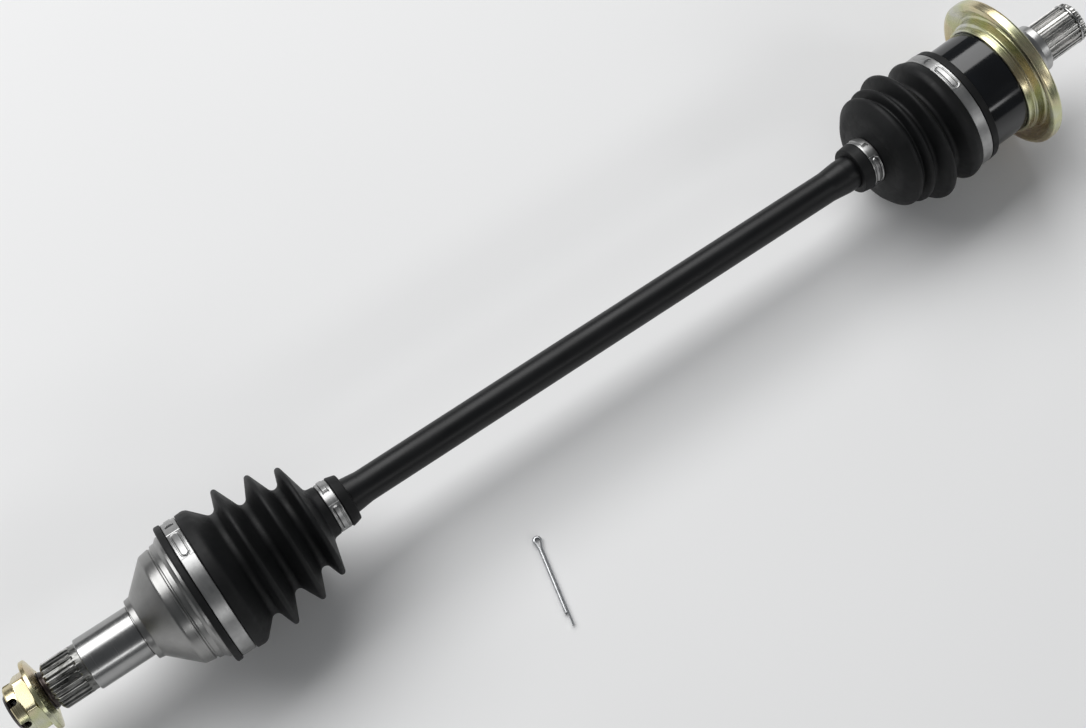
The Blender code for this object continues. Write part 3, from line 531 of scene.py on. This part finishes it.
def wheel_spline():
    """Rolled teeth whose grooves run out into a plain ring before the journal."""
    teeth = SPLINE_TEETH
    root = SPLINE_ROOT_R
    tip = SPLINE_TIP_R
    start = THREAD_L - 0.6
    rings = [
        level(start, THREAD_R - 1.2, teeth),
        level(start + 0.5, root - 0.35, teeth),
        toothed(start + 1.6, root, tip - 0.25, teeth),
        toothed(start + 2.0, root, tip, teeth),
    ]
    runout = 3.2
    steps = 8
    for i in range(steps + 1):
        t = i / steps
        rise = 1 - math.sqrt(1 - (t * 0.98) ** 2)
        rings.append(toothed(SPLINE_END - runout * (1 - t), root + (tip - 0.15 - root) * rise, tip, teeth))
    rings += [
        level(SPLINE_END + 0.3, tip - 0.12, teeth),
        level(JOURNAL_START + 0.6, tip - 0.12, teeth),
        level(JOURNAL_START + 0.6, tip - 2.0, teeth),
    ]
    made = piece("stub_spline", skin(rings), OILY_STEEL)
    place(made, "outer_housing", "machined_steel", "outer_joint_housing")


def journal():
    """The ground journal that the wheel bearing sits on, with a narrow groove beside the bell's shoulder."""
    shoulder = WHEEL_JOINT.x / MM - BELL_DEPTH
    outline = rounded(
        [
            (JOURNAL_START, SPLINE_TIP_R - 1.0),
            (JOURNAL_START, JOURNAL_R, 0.8),
            (shoulder - 0.8, JOURNAL_R, 0.2),
            (shoulder - 0.5, JOURNAL_R - 0.35, 0.3),
            (shoulder + 0.2, JOURNAL_R - 0.35, 0.2),
            (shoulder + 0.3, JOURNAL_R - 3.0),
        ]
    )
    made = turned("stub_journal", outline, GROUND_STEEL)
    place(made, "outer_housing", "machined_steel", "outer_joint_housing")


def bell():
    """The joint's bell: a thin bearing shoulder, a cone, a band and a lip, hollow behind the mouth."""
    band_r = BELL_R - 2.9
    band = -13.5
    outline = rounded(
        [
            (-BELL_DEPTH + 0.1, JOURNAL_R - 1.0),
            (-BELL_DEPTH + 0.1, SHOULDER_R, 0.5),
            (-BELL_DEPTH + 3.4, SHOULDER_R + 0.5, 1.2),
            (-BELL_DEPTH + 5.0, BELL_NECK_R, 1.2),
            (band - 1.5, band_r - 1.0, 3.0),
            (band + 4.3, band_r, 0.8),
            (band + 4.8, band_r - 0.7, 0.3),
            (band + 5.6, band_r - 0.5, 0.3),
            (band + 5.9, band_r + 0.6, 0.3),
            (band + 8.6, band_r + 0.9, 0.6),
            (band + 10.0, BELL_R - 0.6, 0.6),
            (band + 10.8, BELL_R, 0.3),
            (BELL_MOUTH - 1, BELL_R, 0.3),
            (BELL_MOUTH, BELL_R - 1, 0.3),
            (BELL_MOUTH, 29.3, 0.5),
            (BELL_MOUTH - 2.5, 27.6, 2.0),
            (-8.0, 27.0, 6.0),
            (-18.0, 20.0, 6.0),
            (-22.0, 15.0, 4.0),
            (-22.1, 8.0),
            (-22.1, 0.5),
        ]
    )
    rings = [circle(x, r) for x, r in outline]
    rings.insert(0, circle(-BELL_DEPTH + 0.1, 0.5))
    made = piece("joint_bell", skin(rings), TURNED_STEEL, WHEEL_JOINT)
    place(made, "outer_housing", "machined_steel", "outer_joint_housing")


def hexagon(x, apothem, corner_r, sides=SIDES):
    """A hexagon whose corners are turned down to corner_r."""
    ring = []
    for i in range(sides):
        angle = FULL_TURN * i / sides
        off_flat = (angle - NUT_TURN + math.pi / 6) % (math.pi / 3) - math.pi / 6
        ring.append(polar(x, min(apothem / math.cos(off_flat), corner_r), angle))
    return ring


def nut_slot(angle):
    """A slot across the crown with a rounded floor."""
    half = NUT_SLOT_W / 2
    floor = NUT_START + NUT_CROWN_L - 0.6 - half
    outline = [(NUT_START - 3, -half), (floor, -half)]
    for k in range(1, 12):
        round_floor = math.pi * (k / 12 - 0.5)
        outline.append((floor + half * math.cos(round_floor), half * math.sin(round_floor)))
    outline += [(floor, half), (NUT_START - 3, half)]
    turn = Matrix.Rotation(angle, 3, "X")
    rings = [[turn @ Vector((x, out, side)) for x, side in outline] for out in (-NUT_CROWN_R * 2, NUT_CROWN_R * 2)]
    return skin(rings)


def castle_nut():
    """A hexagon with chamfered corners and a round crown, slotted six times, with a plain bore."""
    corner = NUT_APOTHEM / math.cos(math.pi / 6) - 0.35
    top = NUT_START + NUT_CROWN_L
    base = top + NUT_HEX_L
    bore = THREAD_R + 0.25
    rings = [
        circle(NUT_START, bore + 0.9),
        circle(NUT_START, NUT_CROWN_R - 0.9),
        circle(NUT_START + 0.25, NUT_CROWN_R - 0.4),
        circle(NUT_START + 0.8, NUT_CROWN_R),
        circle(top, NUT_CROWN_R),
    ]
    for k in range(6):
        t = k / 5
        rings.append(hexagon(top + 0.05 + 1.3 * t, NUT_APOTHEM, NUT_CROWN_R + 0.5 + (corner - NUT_CROWN_R - 0.5) * t))
    for k in range(6):
        t = k / 5
        rings.append(hexagon(base - 1.0 + t, NUT_APOTHEM, corner - (corner - NUT_APOTHEM - 0.1) * t))
    rings += [circle(base, bore + 0.9), circle(base - 0.9, bore), circle(NUT_START + 0.9, bore)]
    made = piece("castle_nut", skin(rings, closed=True), YELLOW_ZINC)
    for i in range(NUT_SLOTS // 2):
        carve(made, nut_slot(NUT_TURN + FULL_TURN * i / NUT_SLOTS), f"crown_slot_{i + 1}")
    place(made, "hub_nut", "yellow_zinc", "hub_nut")


def washer():
    """The coned washer between the nut and the wheel hub."""
    bore = THREAD_R + 0.3
    outline = rounded(
        [
            (WASHER_START, bore),
            (WASHER_START, WASHER_R, 0.6),
            (WASHER_START + WASHER_RIM_T, WASHER_R, 0.5),
            (WASHER_START + WASHER_T - 0.4, WASHER_FACE_R + 0.6, 0.6),
            (WASHER_START + WASHER_T, WASHER_FACE_R - 0.5, 0.3),
            (WASHER_START + WASHER_T, bore),
        ]
    )
    place(turned("nut_washer", outline, YELLOW_ZINC, closed=True), "hub_washer", "yellow_zinc", "hub_washer")


# Boots


def outer_boot_outline():
    """The outside of the wheel-side boot about the joint centre: three deep folds, tapering to the shaft."""
    clamp_end = OUTER_CLAMP_X + BIG_CLAMP_W + 0.3
    tail_end = OUTER_TAIL_X + SMALL_CLAMP_W + 0.3
    return rounded(
        [
            (-1.2, BELL_R + 0.3),
            (-1.2, OUTER_SEAT_R + 2.4, 1.3),
            (OUTER_CLAMP_X - 0.3, OUTER_SEAT_R + 2.2, 0.7),
            (OUTER_CLAMP_X - 0.3, OUTER_SEAT_R, 0.2),
            (clamp_end, OUTER_SEAT_R, 0.2),
            (clamp_end, OUTER_SEAT_R + 1.7, 0.8),
            (17.5, 41.6, 5.0),
            (29.4, 28.9, 3.0),
            apex((29.4, 28.9), 35.3, 42.3, (44.9, 22.9), 1.7),
            (44.9, 22.9, 3.0),
            apex((44.9, 22.9), 54.3, 39.2, (63.4, 19.1), 1.7),
            (63.4, 19.1, 3.0),
            apex((63.4, 19.1), 70.0, 33.9, (75.9, 15.3), 1.7),
            (75.9, 15.3, 2.5),
            (OUTER_TAIL_X - 0.3, OUTER_TAIL_R + 1.2, 0.6),
            (OUTER_TAIL_X - 0.3, OUTER_TAIL_R, 0.1),
            (tail_end, OUTER_TAIL_R, 0.1),
            (tail_end, OUTER_TAIL_R + 1.9, 0.8),
            (OUTER_BOOT_END, OUTER_TAIL_R + 0.3, 1.0),
            (OUTER_BOOT_END, OUTER_NECK_R + 0.1),
        ]
    )


def inner_boot_outline():
    """The outside of the gearbox-side boot about the joint centre: a dome, a narrow fold, a large fold and a lobe."""
    tail_end = INNER_TAIL_X + SMALL_CLAMP_W + 0.3
    clamp_end = INNER_CLAMP_X + INNER_CLAMP_W + 0.3
    return rounded(
        [
            (INNER_BOOT_START, INNER_NECK_R + 0.1),
            (INNER_BOOT_START, INNER_TAIL_R + 0.6, 0.8),
            (INNER_TAIL_X - 0.3, INNER_TAIL_R + 1.6, 0.6),
            (INNER_TAIL_X - 0.3, INNER_TAIL_R, 0.1),
            (tail_end, INNER_TAIL_R, 0.1),
            (tail_end, INNER_TAIL_R + 1.0, 0.4),
            (-80.8, 29.6, 9.0),
            (-73.5, 38.0, 4.0),
            (-69.9, 30.6, 1.0),
            apex((-69.9, 30.6), -66.6, 37.8, (-61.3, 29.2), 1.7),
            (-61.3, 29.2, 2.5),
            apex((-61.3, 29.2), -53.5, 42.4, (-42.3, 29.0), 3.0),
            (-42.3, 29.0, 3.0),
            (-34.0, 41.4, 5.0),
            (INNER_CLAMP_X - 0.3, INNER_SEAT_R + 1.4, 0.8),
            (INNER_CLAMP_X - 0.3, INNER_SEAT_R, 0.1),
            (clamp_end, INNER_SEAT_R, 0.1),
            (clamp_end, INNER_SEAT_R + 1.2, 0.5),
            (clamp_end + 4.6, INNER_SEAT_R + 0.8, 0.6),
            (clamp_end + 4.6, INNER_HOUSING_R + 0.2),
        ]
    )


def radius_at(outline, x):
    """The outline's smallest radius at x."""
    found = []
    for (x0, r0), (x1, r1) in zip(outline, outline[1:]):
        if min(x0, x1) <= x <= max(x0, x1) and x1 != x0:
            found.append(r0 + (r1 - r0) * (x - x0) / (x1 - x0))
    return min(found)


def boot_stretch(name, outline, start, end, grips, pivot, bent):
    """One stretch of a boot, from x = start to end, with the given wall inside it. Where the boot grips metal its
    inside is a plain sleeve: grips holds (start, end, radius). Bent gives the turn at each x."""
    step = 0.7
    outside = [p for p in outline if start + 0.02 < p[0] < end - 0.02]
    if start > outline[0][0] + 0.1:
        outside.insert(0, (start, radius_at(outline, start)))
    else:
        outside = [p for p in outline if p[0] < end - 0.02]
    if end < outline[-1][0] - 0.1:
        outside.append((end, radius_at(outline, end)))
    else:
        outside += [p for p in outline if p[0] >= end - 0.02]
    count = max(2, round((end - start) / step))
    inside = []
    for k in range(count + 1):
        x = end + (start - end) * k / count
        held = [radius for low, high, radius in grips if low <= x <= high]
        x_in = min(max(x, outline[0][0] + 0.2), outline[-1][0] - 0.2)
        inside.append((x, held[0] if held else radius_at(outline, x_in) - 1.5 * BOOT_WALL))
    rings = [circle(x, r) for x, r in outside + inside]
    bm = skin(rings, closed=True)
    for vertex in bm.verts:
        vertex.co = Matrix.Rotation(-bent(vertex.co.x), 3, "Y") @ vertex.co
    return piece(name, bm, BOOT_RUBBER, pivot)


def outer_boot():
    """Stretches of the boot, cut at its folds: the first rides on the housing, the last on the shaft, and the four
    between are fixed where they are made.
    """
    outline = outer_boot_outline()
    grips = [
        (-2, OUTER_CLAMP_X + BIG_CLAMP_W + 2, BELL_R + 0.3),
        (OUTER_TAIL_X - 1, OUTER_BOOT_END + 1, OUTER_NECK_R + 0.1),
    ]
    bodies = ("outer_housing", "outer_ball_lower", "outer_cage", "outer_ball_upper", "axle_shaft")
    cuts = (14.0, 29.4, 44.9, 63.4, 77.0)
    ends = (outline[0][0],) + cuts + (OUTER_BOOT_END,)
    for i, (start, end) in enumerate(zip(ends, ends[1:])):
        made = boot_stretch(f"outer_boot_part_{i + 1}", outline, start, end, grips, WHEEL_JOINT, lambda x: 0.0)
        if i == 0:
            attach(made, bodies[0])
        elif i == len(ends) - 2:
            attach(made, bodies[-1])
        else:
            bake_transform(made)
        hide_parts("outer_boot")


def rest_share(x):
    """How far the gearbox-side boot has turned up at x, at rest."""
    t = max(0.0, min(1.0, (x - INNER_BEND_START) / (INNER_BEND_END - INNER_BEND_START)))
    return REST_BEND * t * t * (3 - 2 * t)


def inner_boot():
    """Stretches of the boot, bent at rest as the joint is: the first rides on the shaft, the last on the housing, and
    the three between are fixed where they are made.
    """
    outline = inner_boot_outline()
    grips = [
        (INNER_BOOT_START - 1, INNER_TAIL_X + SMALL_CLAMP_W + 1, INNER_NECK_R + 0.1),
        (INNER_MOUTH - 1, 1, INNER_HOUSING_R + 0.2),
    ]
    bodies = ("axle_shaft", "inner_cage", "inner_ball_side", "inner_housing")
    cuts = (-82.0, -69.9, -61.3, -42.3)
    ends = (INNER_BOOT_START,) + cuts + (outline[-1][0],)
    for i, (start, end) in enumerate(zip(ends, ends[1:])):
        made = boot_stretch(f"inner_boot_part_{i + 1}", outline, start, end, grips, GEARBOX_JOINT, rest_share)
        if i == 0:
            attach(made, bodies[0])
        elif i == len(ends) - 2:
            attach(made, bodies[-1])
        else:
            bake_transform(made)
        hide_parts("inner_boot")


# Clamps


def smooth(value, low, high):
    """0 below low, 1 above high, and an eased step in between."""
    t = max(0.0, min(1.0, (value - low) / (high - low)))
    return t * t * (3 - 2 * t)


def stadium(u, v, half_length, half_width):
    """The distance outside a slot with round ends, negative inside."""
    return math.hypot(max(0.0, abs(u) - half_length + half_width), v) - half_width


def clamp_height(u, v, width):
    """The height over the plain band at u along it from the hook's window and v across it: a lapped layer, the
    hook's tongue and its window, a dimple, and the pressed panel that takes up slack."""
    lap = smooth(u, -24, -23) * (1 - smooth(u, 8.2, 8.8)) * 0.38
    panel = stadium(u - 18.5, v, 8.8, width * 0.27)
    groove = -0.42 * (1 - smooth(abs(panel), 0.15, 0.75))
    raised = 0.30 * (1 - smooth(panel, -0.6, 0.1))
    shelf = 0.12 * smooth(u, 8.2, 9.0) * (1 - smooth(u, 27.5, 28.5))
    window = max(abs(u - 0.6) - 0.75, abs(v) - width * 0.27)
    opening = -0.95 * (1 - smooth(window, -0.1, 0.2))
    tongue = max(abs(u + 6.5) - 6.3, abs(v) - width * 0.26)
    lifted = 0.55 * (1 - smooth(tongue, -0.5, 0.1))
    return lap + groove + raised + shelf + opening + lifted


def clamp(name, start, width, seat_r, hook, body, pivot, bend=0.0):
    """A pressed band clamp. Hook is the angle of the hook's window."""
    inside = seat_r + 0.12
    outside = inside + CLAMP_T
    ear_low = -25.0
    ear_high = 30.0
    fine = 0.22
    turns = [hook + u / outside for u in [ear_low + fine * k for k in range(int((ear_high - ear_low) / fine) + 1)]]
    rest = FULL_TURN - (turns[-1] - turns[0])
    plain = max(24, int(rest / math.radians(2.5)))
    turns += [turns[-1] + rest * k / plain for k in range(1, plain)]
    rows = 26
    edge = 0.22
    rings = [[polar(start, inside, a) for a in turns]]
    for j in range(rows + 1):
        v = width * (j / rows - 0.5)
        fall = edge * (smooth(abs(v), width / 2 - edge * 1.5, width / 2))
        ring = []
        for a in turns:
            u = (a - hook) * outside
            height = clamp_height(u, v, width) if ear_low <= u <= ear_high else 0.0
            ring.append(polar(start + width / 2 + v, outside + height - fall, a))
        rings.append(ring)
    rings.append([polar(start + width, inside, a) for a in turns])
    made = piece(name, skin(rings, closed=True), BAND_STEEL, pivot, bend)
    place(made, body, "stainless", name.replace("_band", ""))


def clamps():
    """The four clamps, each with the angle of its hook round the axis."""
    large = "outer_boot_clamp_large_band"
    clamp(large, OUTER_CLAMP_X, BIG_CLAMP_W, OUTER_SEAT_R, math.radians(42), "outer_housing", WHEEL_JOINT)
    small = "outer_boot_clamp_small_band"
    clamp(small, OUTER_TAIL_X, SMALL_CLAMP_W, OUTER_TAIL_R, math.radians(72), "axle_shaft", WHEEL_JOINT)
    small = "inner_boot_clamp_small_band"
    clamp(small, INNER_TAIL_X, SMALL_CLAMP_W, INNER_TAIL_R, math.radians(73), "axle_shaft", GEARBOX_JOINT)
    large = "inner_boot_clamp_large_band"
    hook = math.radians(54)
    clamp(large, INNER_CLAMP_X, INNER_CLAMP_W, INNER_SEAT_R, hook, "inner_housing", GEARBOX_JOINT, REST_BEND)


# Gearbox side


def gearbox_housing():
    """The painted cup, open at its mouth."""
    outline = rounded(
        [
            (INNER_MOUTH, 28.2),
            (INNER_MOUTH, INNER_HOUSING_R - 1.0, 0.3),
            (INNER_MOUTH + 1.0, INNER_HOUSING_R, 0.3),
            (HOUSING_END - 2.0, INNER_HOUSING_R, 1.5),
            (HOUSING_END - 0.4, INNER_HOUSING_R - 2.0, 1.0),
            (HOUSING_END + 0.2, 27.6),
            (HOUSING_END - 3.0, 25.0),
            (26.8, 24.0),
            (26.8, 27.0),
            (INNER_MOUTH + 4.0, 27.2),
        ]
    )
    made = turned("gearbox_cup", outline, GLOSS_BLACK, GEARBOX_JOINT, REST_BEND, closed=True)
    place(made, "inner_housing", "black_paint", "inner_joint_housing")


def gearbox_collar():
    """The bare steel end wall, flaring down to the collar that the gearbox seal runs on."""
    outline = rounded(
        [
            (26.9, 1.0),
            (26.9, 26.0),
            (HOUSING_END - 0.6, 27.4, 0.5),
            (HOUSING_END + 2.0, 25.5, 1.5),
            (HOUSING_END + 5.5, COLLAR_R + 4.4, 3.0),
            (HOUSING_END + 8.5, COLLAR_R + 0.8, 3.0),
            (HOUSING_END + 10.5, COLLAR_R, 1.0),
            (COLLAR_END, COLLAR_R, 0.9),
            (COLLAR_END, STUB_ROOT_R - 2.0),
            (COLLAR_END, 1.0),
        ]
    )
    made = turned("gearbox_collar", outline, BRIGHT_STEEL, GEARBOX_JOINT, REST_BEND)
    place(made, "inner_housing", "machined_steel", "inner_joint_housing")


def gearbox_spline():
    """The stub's teeth, with the circlip's groove and a chamfered end."""
    teeth = STUB_TEETH
    root = STUB_ROOT_R
    tip = STUB_TIP_R
    half = 1.1
    end = STUB_END
    rings = [
        level(COLLAR_END - 1.0, 3.0, teeth),
        toothed(COLLAR_END - 1.0, root, tip, teeth),
        toothed(CIRCLIP_X - half, root, tip, teeth),
        level(CIRCLIP_X - half, root - 0.4, teeth),
        level(CIRCLIP_X + half, root - 0.4, teeth),
        toothed(CIRCLIP_X + half, root, tip, teeth),
        toothed(end - 1.5, root, tip, teeth),
        toothed(end - 0.9, root, tip - 0.8, teeth),
        toothed(end - 0.2, root - 0.7, root - 0.2, teeth),
        level(end, root - 1.1, teeth),
        level(end, 3.0, teeth),
        level(end - 1.8, 0.6, teeth),
    ]
    made = piece("gearbox_spline", skin(rings), SPLINE_STEEL, GEARBOX_JOINT, REST_BEND)
    place(made, "inner_housing", "machined_steel", "inner_joint_housing")


def circlip():
    """The open wire ring in the stub's groove."""
    wire = 0.8
    opening = 0.5  # radians
    centre = STUB_ROOT_R + 0.75
    steps = 120
    turns = [FULL_TURN * k / 16 for k in range(16)]
    rings = []
    for i in range(steps + 1):
        angle = opening / 2 + (FULL_TURN - opening) * i / steps
        rings.append([polar(CIRCLIP_X + wire * math.sin(t), centre + wire * math.cos(t), angle) for t in turns])
    made = piece("stub_circlip_wire", skin(rings), HARD_STEEL, GEARBOX_JOINT, REST_BEND)
    place(made, "inner_housing", "hard_steel", "stub_circlip")


def dust_shield():
    """The pressed shield: a collar in two steps, a web that leans forwards and a thick rounded rim."""
    bore = INNER_HOUSING_R + 0.3
    front = SHIELD_FRONT
    web_in = bore + 4.6
    web_out = SHIELD_R - 4.2
    outline = rounded(
        [
            (front, bore),
            (front, bore + 1.3, 0.5),
            (front + 4.2, bore + 1.5, 0.7),
            (front + 4.9, bore + 2.9, 0.6),
            (front + 9.9, bore + 3.1, 1.4),
            (front + 11.0, web_in, 0.9),
            (front + 7.2, web_out, 0.9),
            (front + 6.4, SHIELD_R - 2.6, 0.7),
            (front + 7.4, SHIELD_R, 1.6),
            (front + 13.4, SHIELD_R, 1.8),
            (front + 14.4, SHIELD_R - 3.0, 0.9),
            (front + 7.2 + SHIELD_T, web_out + 0.4, 1.0),
            (front + 11.0 + SHIELD_T, web_in + 0.8, 1.0),
            (front + 15.5, bore + 3.0, 0.8),
            (front + 15.5, bore),
        ]
    )
    made = turned("shield_pressing", outline, YELLOW_ZINC, GEARBOX_JOINT, REST_BEND, closed=True, sides=256)
    place(made, "inner_housing", "yellow_zinc", "dust_shield")


# Split pin

HALF_ROUND_CENTRE = 0.424  # how far a half-round section's centre lies from its flat, as a share of its radius


def split_pin():
    """One half-round wire folded double: up the short leg, round the eye and down the long leg."""
    leg_r = 1.4
    short_leg = 39.4
    long_leg = 46.8
    eye_l = 8.7
    eye_w = 5.8
    place_at = (279.1, -73.1)
    heading = Matrix.Rotation(math.radians(-103.1), 3, "Z")
    leg = leg_r * HALF_ROUND_CENTRE + 0.15
    eye_r = eye_w / 2 - leg_r * (1 - HALF_ROUND_CENTRE)
    start = eye_l - eye_r - leg_r
    opening = math.radians(35)
    path = [(short_leg, -leg), (short_leg * 0.5, -leg), (6.0, -leg), (0.0, -leg)]
    turns = 40
    for i in range(turns + 1):
        angle = -math.pi / 2 + opening - (math.pi + 2 * opening) * i / turns
        path.append((-start + eye_r * math.cos(angle), eye_r * math.sin(angle)))
    path += [(0.0, leg), (6.0, leg), (long_leg * 0.5, leg), (long_leg - 1.0, leg), (long_leg, leg - 0.1)]
    path = [Vector(p) for p in path]
    rings = []
    for i, here in enumerate(path):
        along = (path[min(len(path) - 1, i + 1)] - path[max(0, i - 1)]).normalized()
        across = Vector((along.y, -along.x))
        ring = []
        for k in range(13):
            turn = math.pi * (k / 12 - 0.5)
            flat = here - across * leg_r * (math.cos(turn) - HALF_ROUND_CENTRE)
            ring.append(Vector((flat.x, flat.y, leg_r * math.sin(turn))))
        low = Vector((*place_at, FLOOR_Z / MM + leg_r))
        rings.append([heading @ p + low for p in ring])
    made = piece("split_pin", skin(rings), PIN_ZINC)
    place(made, "cotter_pin", "zinc", "cotter_pin")


def carried_over():
    """The joints' insides keep their CAD shapes."""
    inside = ("race", "cage", "ball", "snap_ring", "retaining_ring")
    for name, node in frame["nodes"].items():
        if any(word in name for word in inside) and not node.hide_render:
            for slot in node.material_slots:
                slot.material = HARD_STEEL


# Studio


def floor():
    """A plain pale floor under the axle."""
    bm = bmesh.new()
    bmesh.ops.create_grid(bm, x_segments=1, y_segments=1, size=6000)
    made = piece("studio_floor", bm, floor_paint("floor_paint"), Vector((0.33, 0, FLOOR_Z)))


def softbox(name, centre, target, size, power):
    """A soft rectangular light that faces the target."""
    light = bpy.data.lights.new(name, "AREA")
    light.shape = "RECTANGLE"
    light.size, light.size_y = size
    light.energy = power
    made = bpy.data.objects.new(name, light)
    made.location = centre
    made.rotation_euler = (Vector(target) - Vector(centre)).to_track_quat("-Z", "Y").to_euler()
    bpy.context.scene.collection.objects.link(made)


def studio():
    """A dim pale sky, a large key light above and behind, a small side light and a low fill."""
    world = bpy.data.worlds.new("studio")
    world.use_nodes = True
    background = world.node_tree.nodes["Background"]
    background.inputs["Color"].default_value = (0.92, 0.96, 1.0, 1)
    background.inputs["Strength"].default_value = 0.12
    bpy.context.scene.world = world
    middle = (0.33, 0, 0)
    softbox("key", (0.1, 1.85, 2.2), middle, (4.2, 2.0), 105)
    softbox("side", (1.62, -1.12, 1.04), tuple(GEARBOX_JOINT), (0.5, 0.4), 2.5)
    softbox("fill", (0.3, -2.2, 1.1), middle, (2.5, 0.25), 8)
    bpy.context.scene.view_settings.view_transform = "Standard"


def camera():
    """Looks down on the axle from above, in front of it and towards its wheel end."""
    data = bpy.data.cameras.new("camera")
    data.sensor_width = 36
    data.lens = 53.04
    azimuth = math.radians(-35.04)
    elevation = math.radians(66.94)
    back = Vector(
        (
            math.sin(azimuth) * math.cos(elevation),
            -math.cos(azimuth) * math.cos(elevation),
            math.sin(elevation),
        )
    )
    made = bpy.data.objects.new("camera", data)
    made.location = (0.1327, -0.2842, 0.8245)
    made.rotation_euler = (-back).to_track_quat("-Z", "Y").to_euler()
    bpy.context.scene.collection.objects.link(made)
    bpy.context.scene.camera = made


camera()
shaft()
thread()
wheel_spline()
journal()
bell()
castle_nut()
washer()
outer_boot()
inner_boot()
clamps()
gearbox_housing()
gearbox_collar()
gearbox_spline()
circlip()
dust_shield()
split_pin()
carried_over()
floor()
studio()
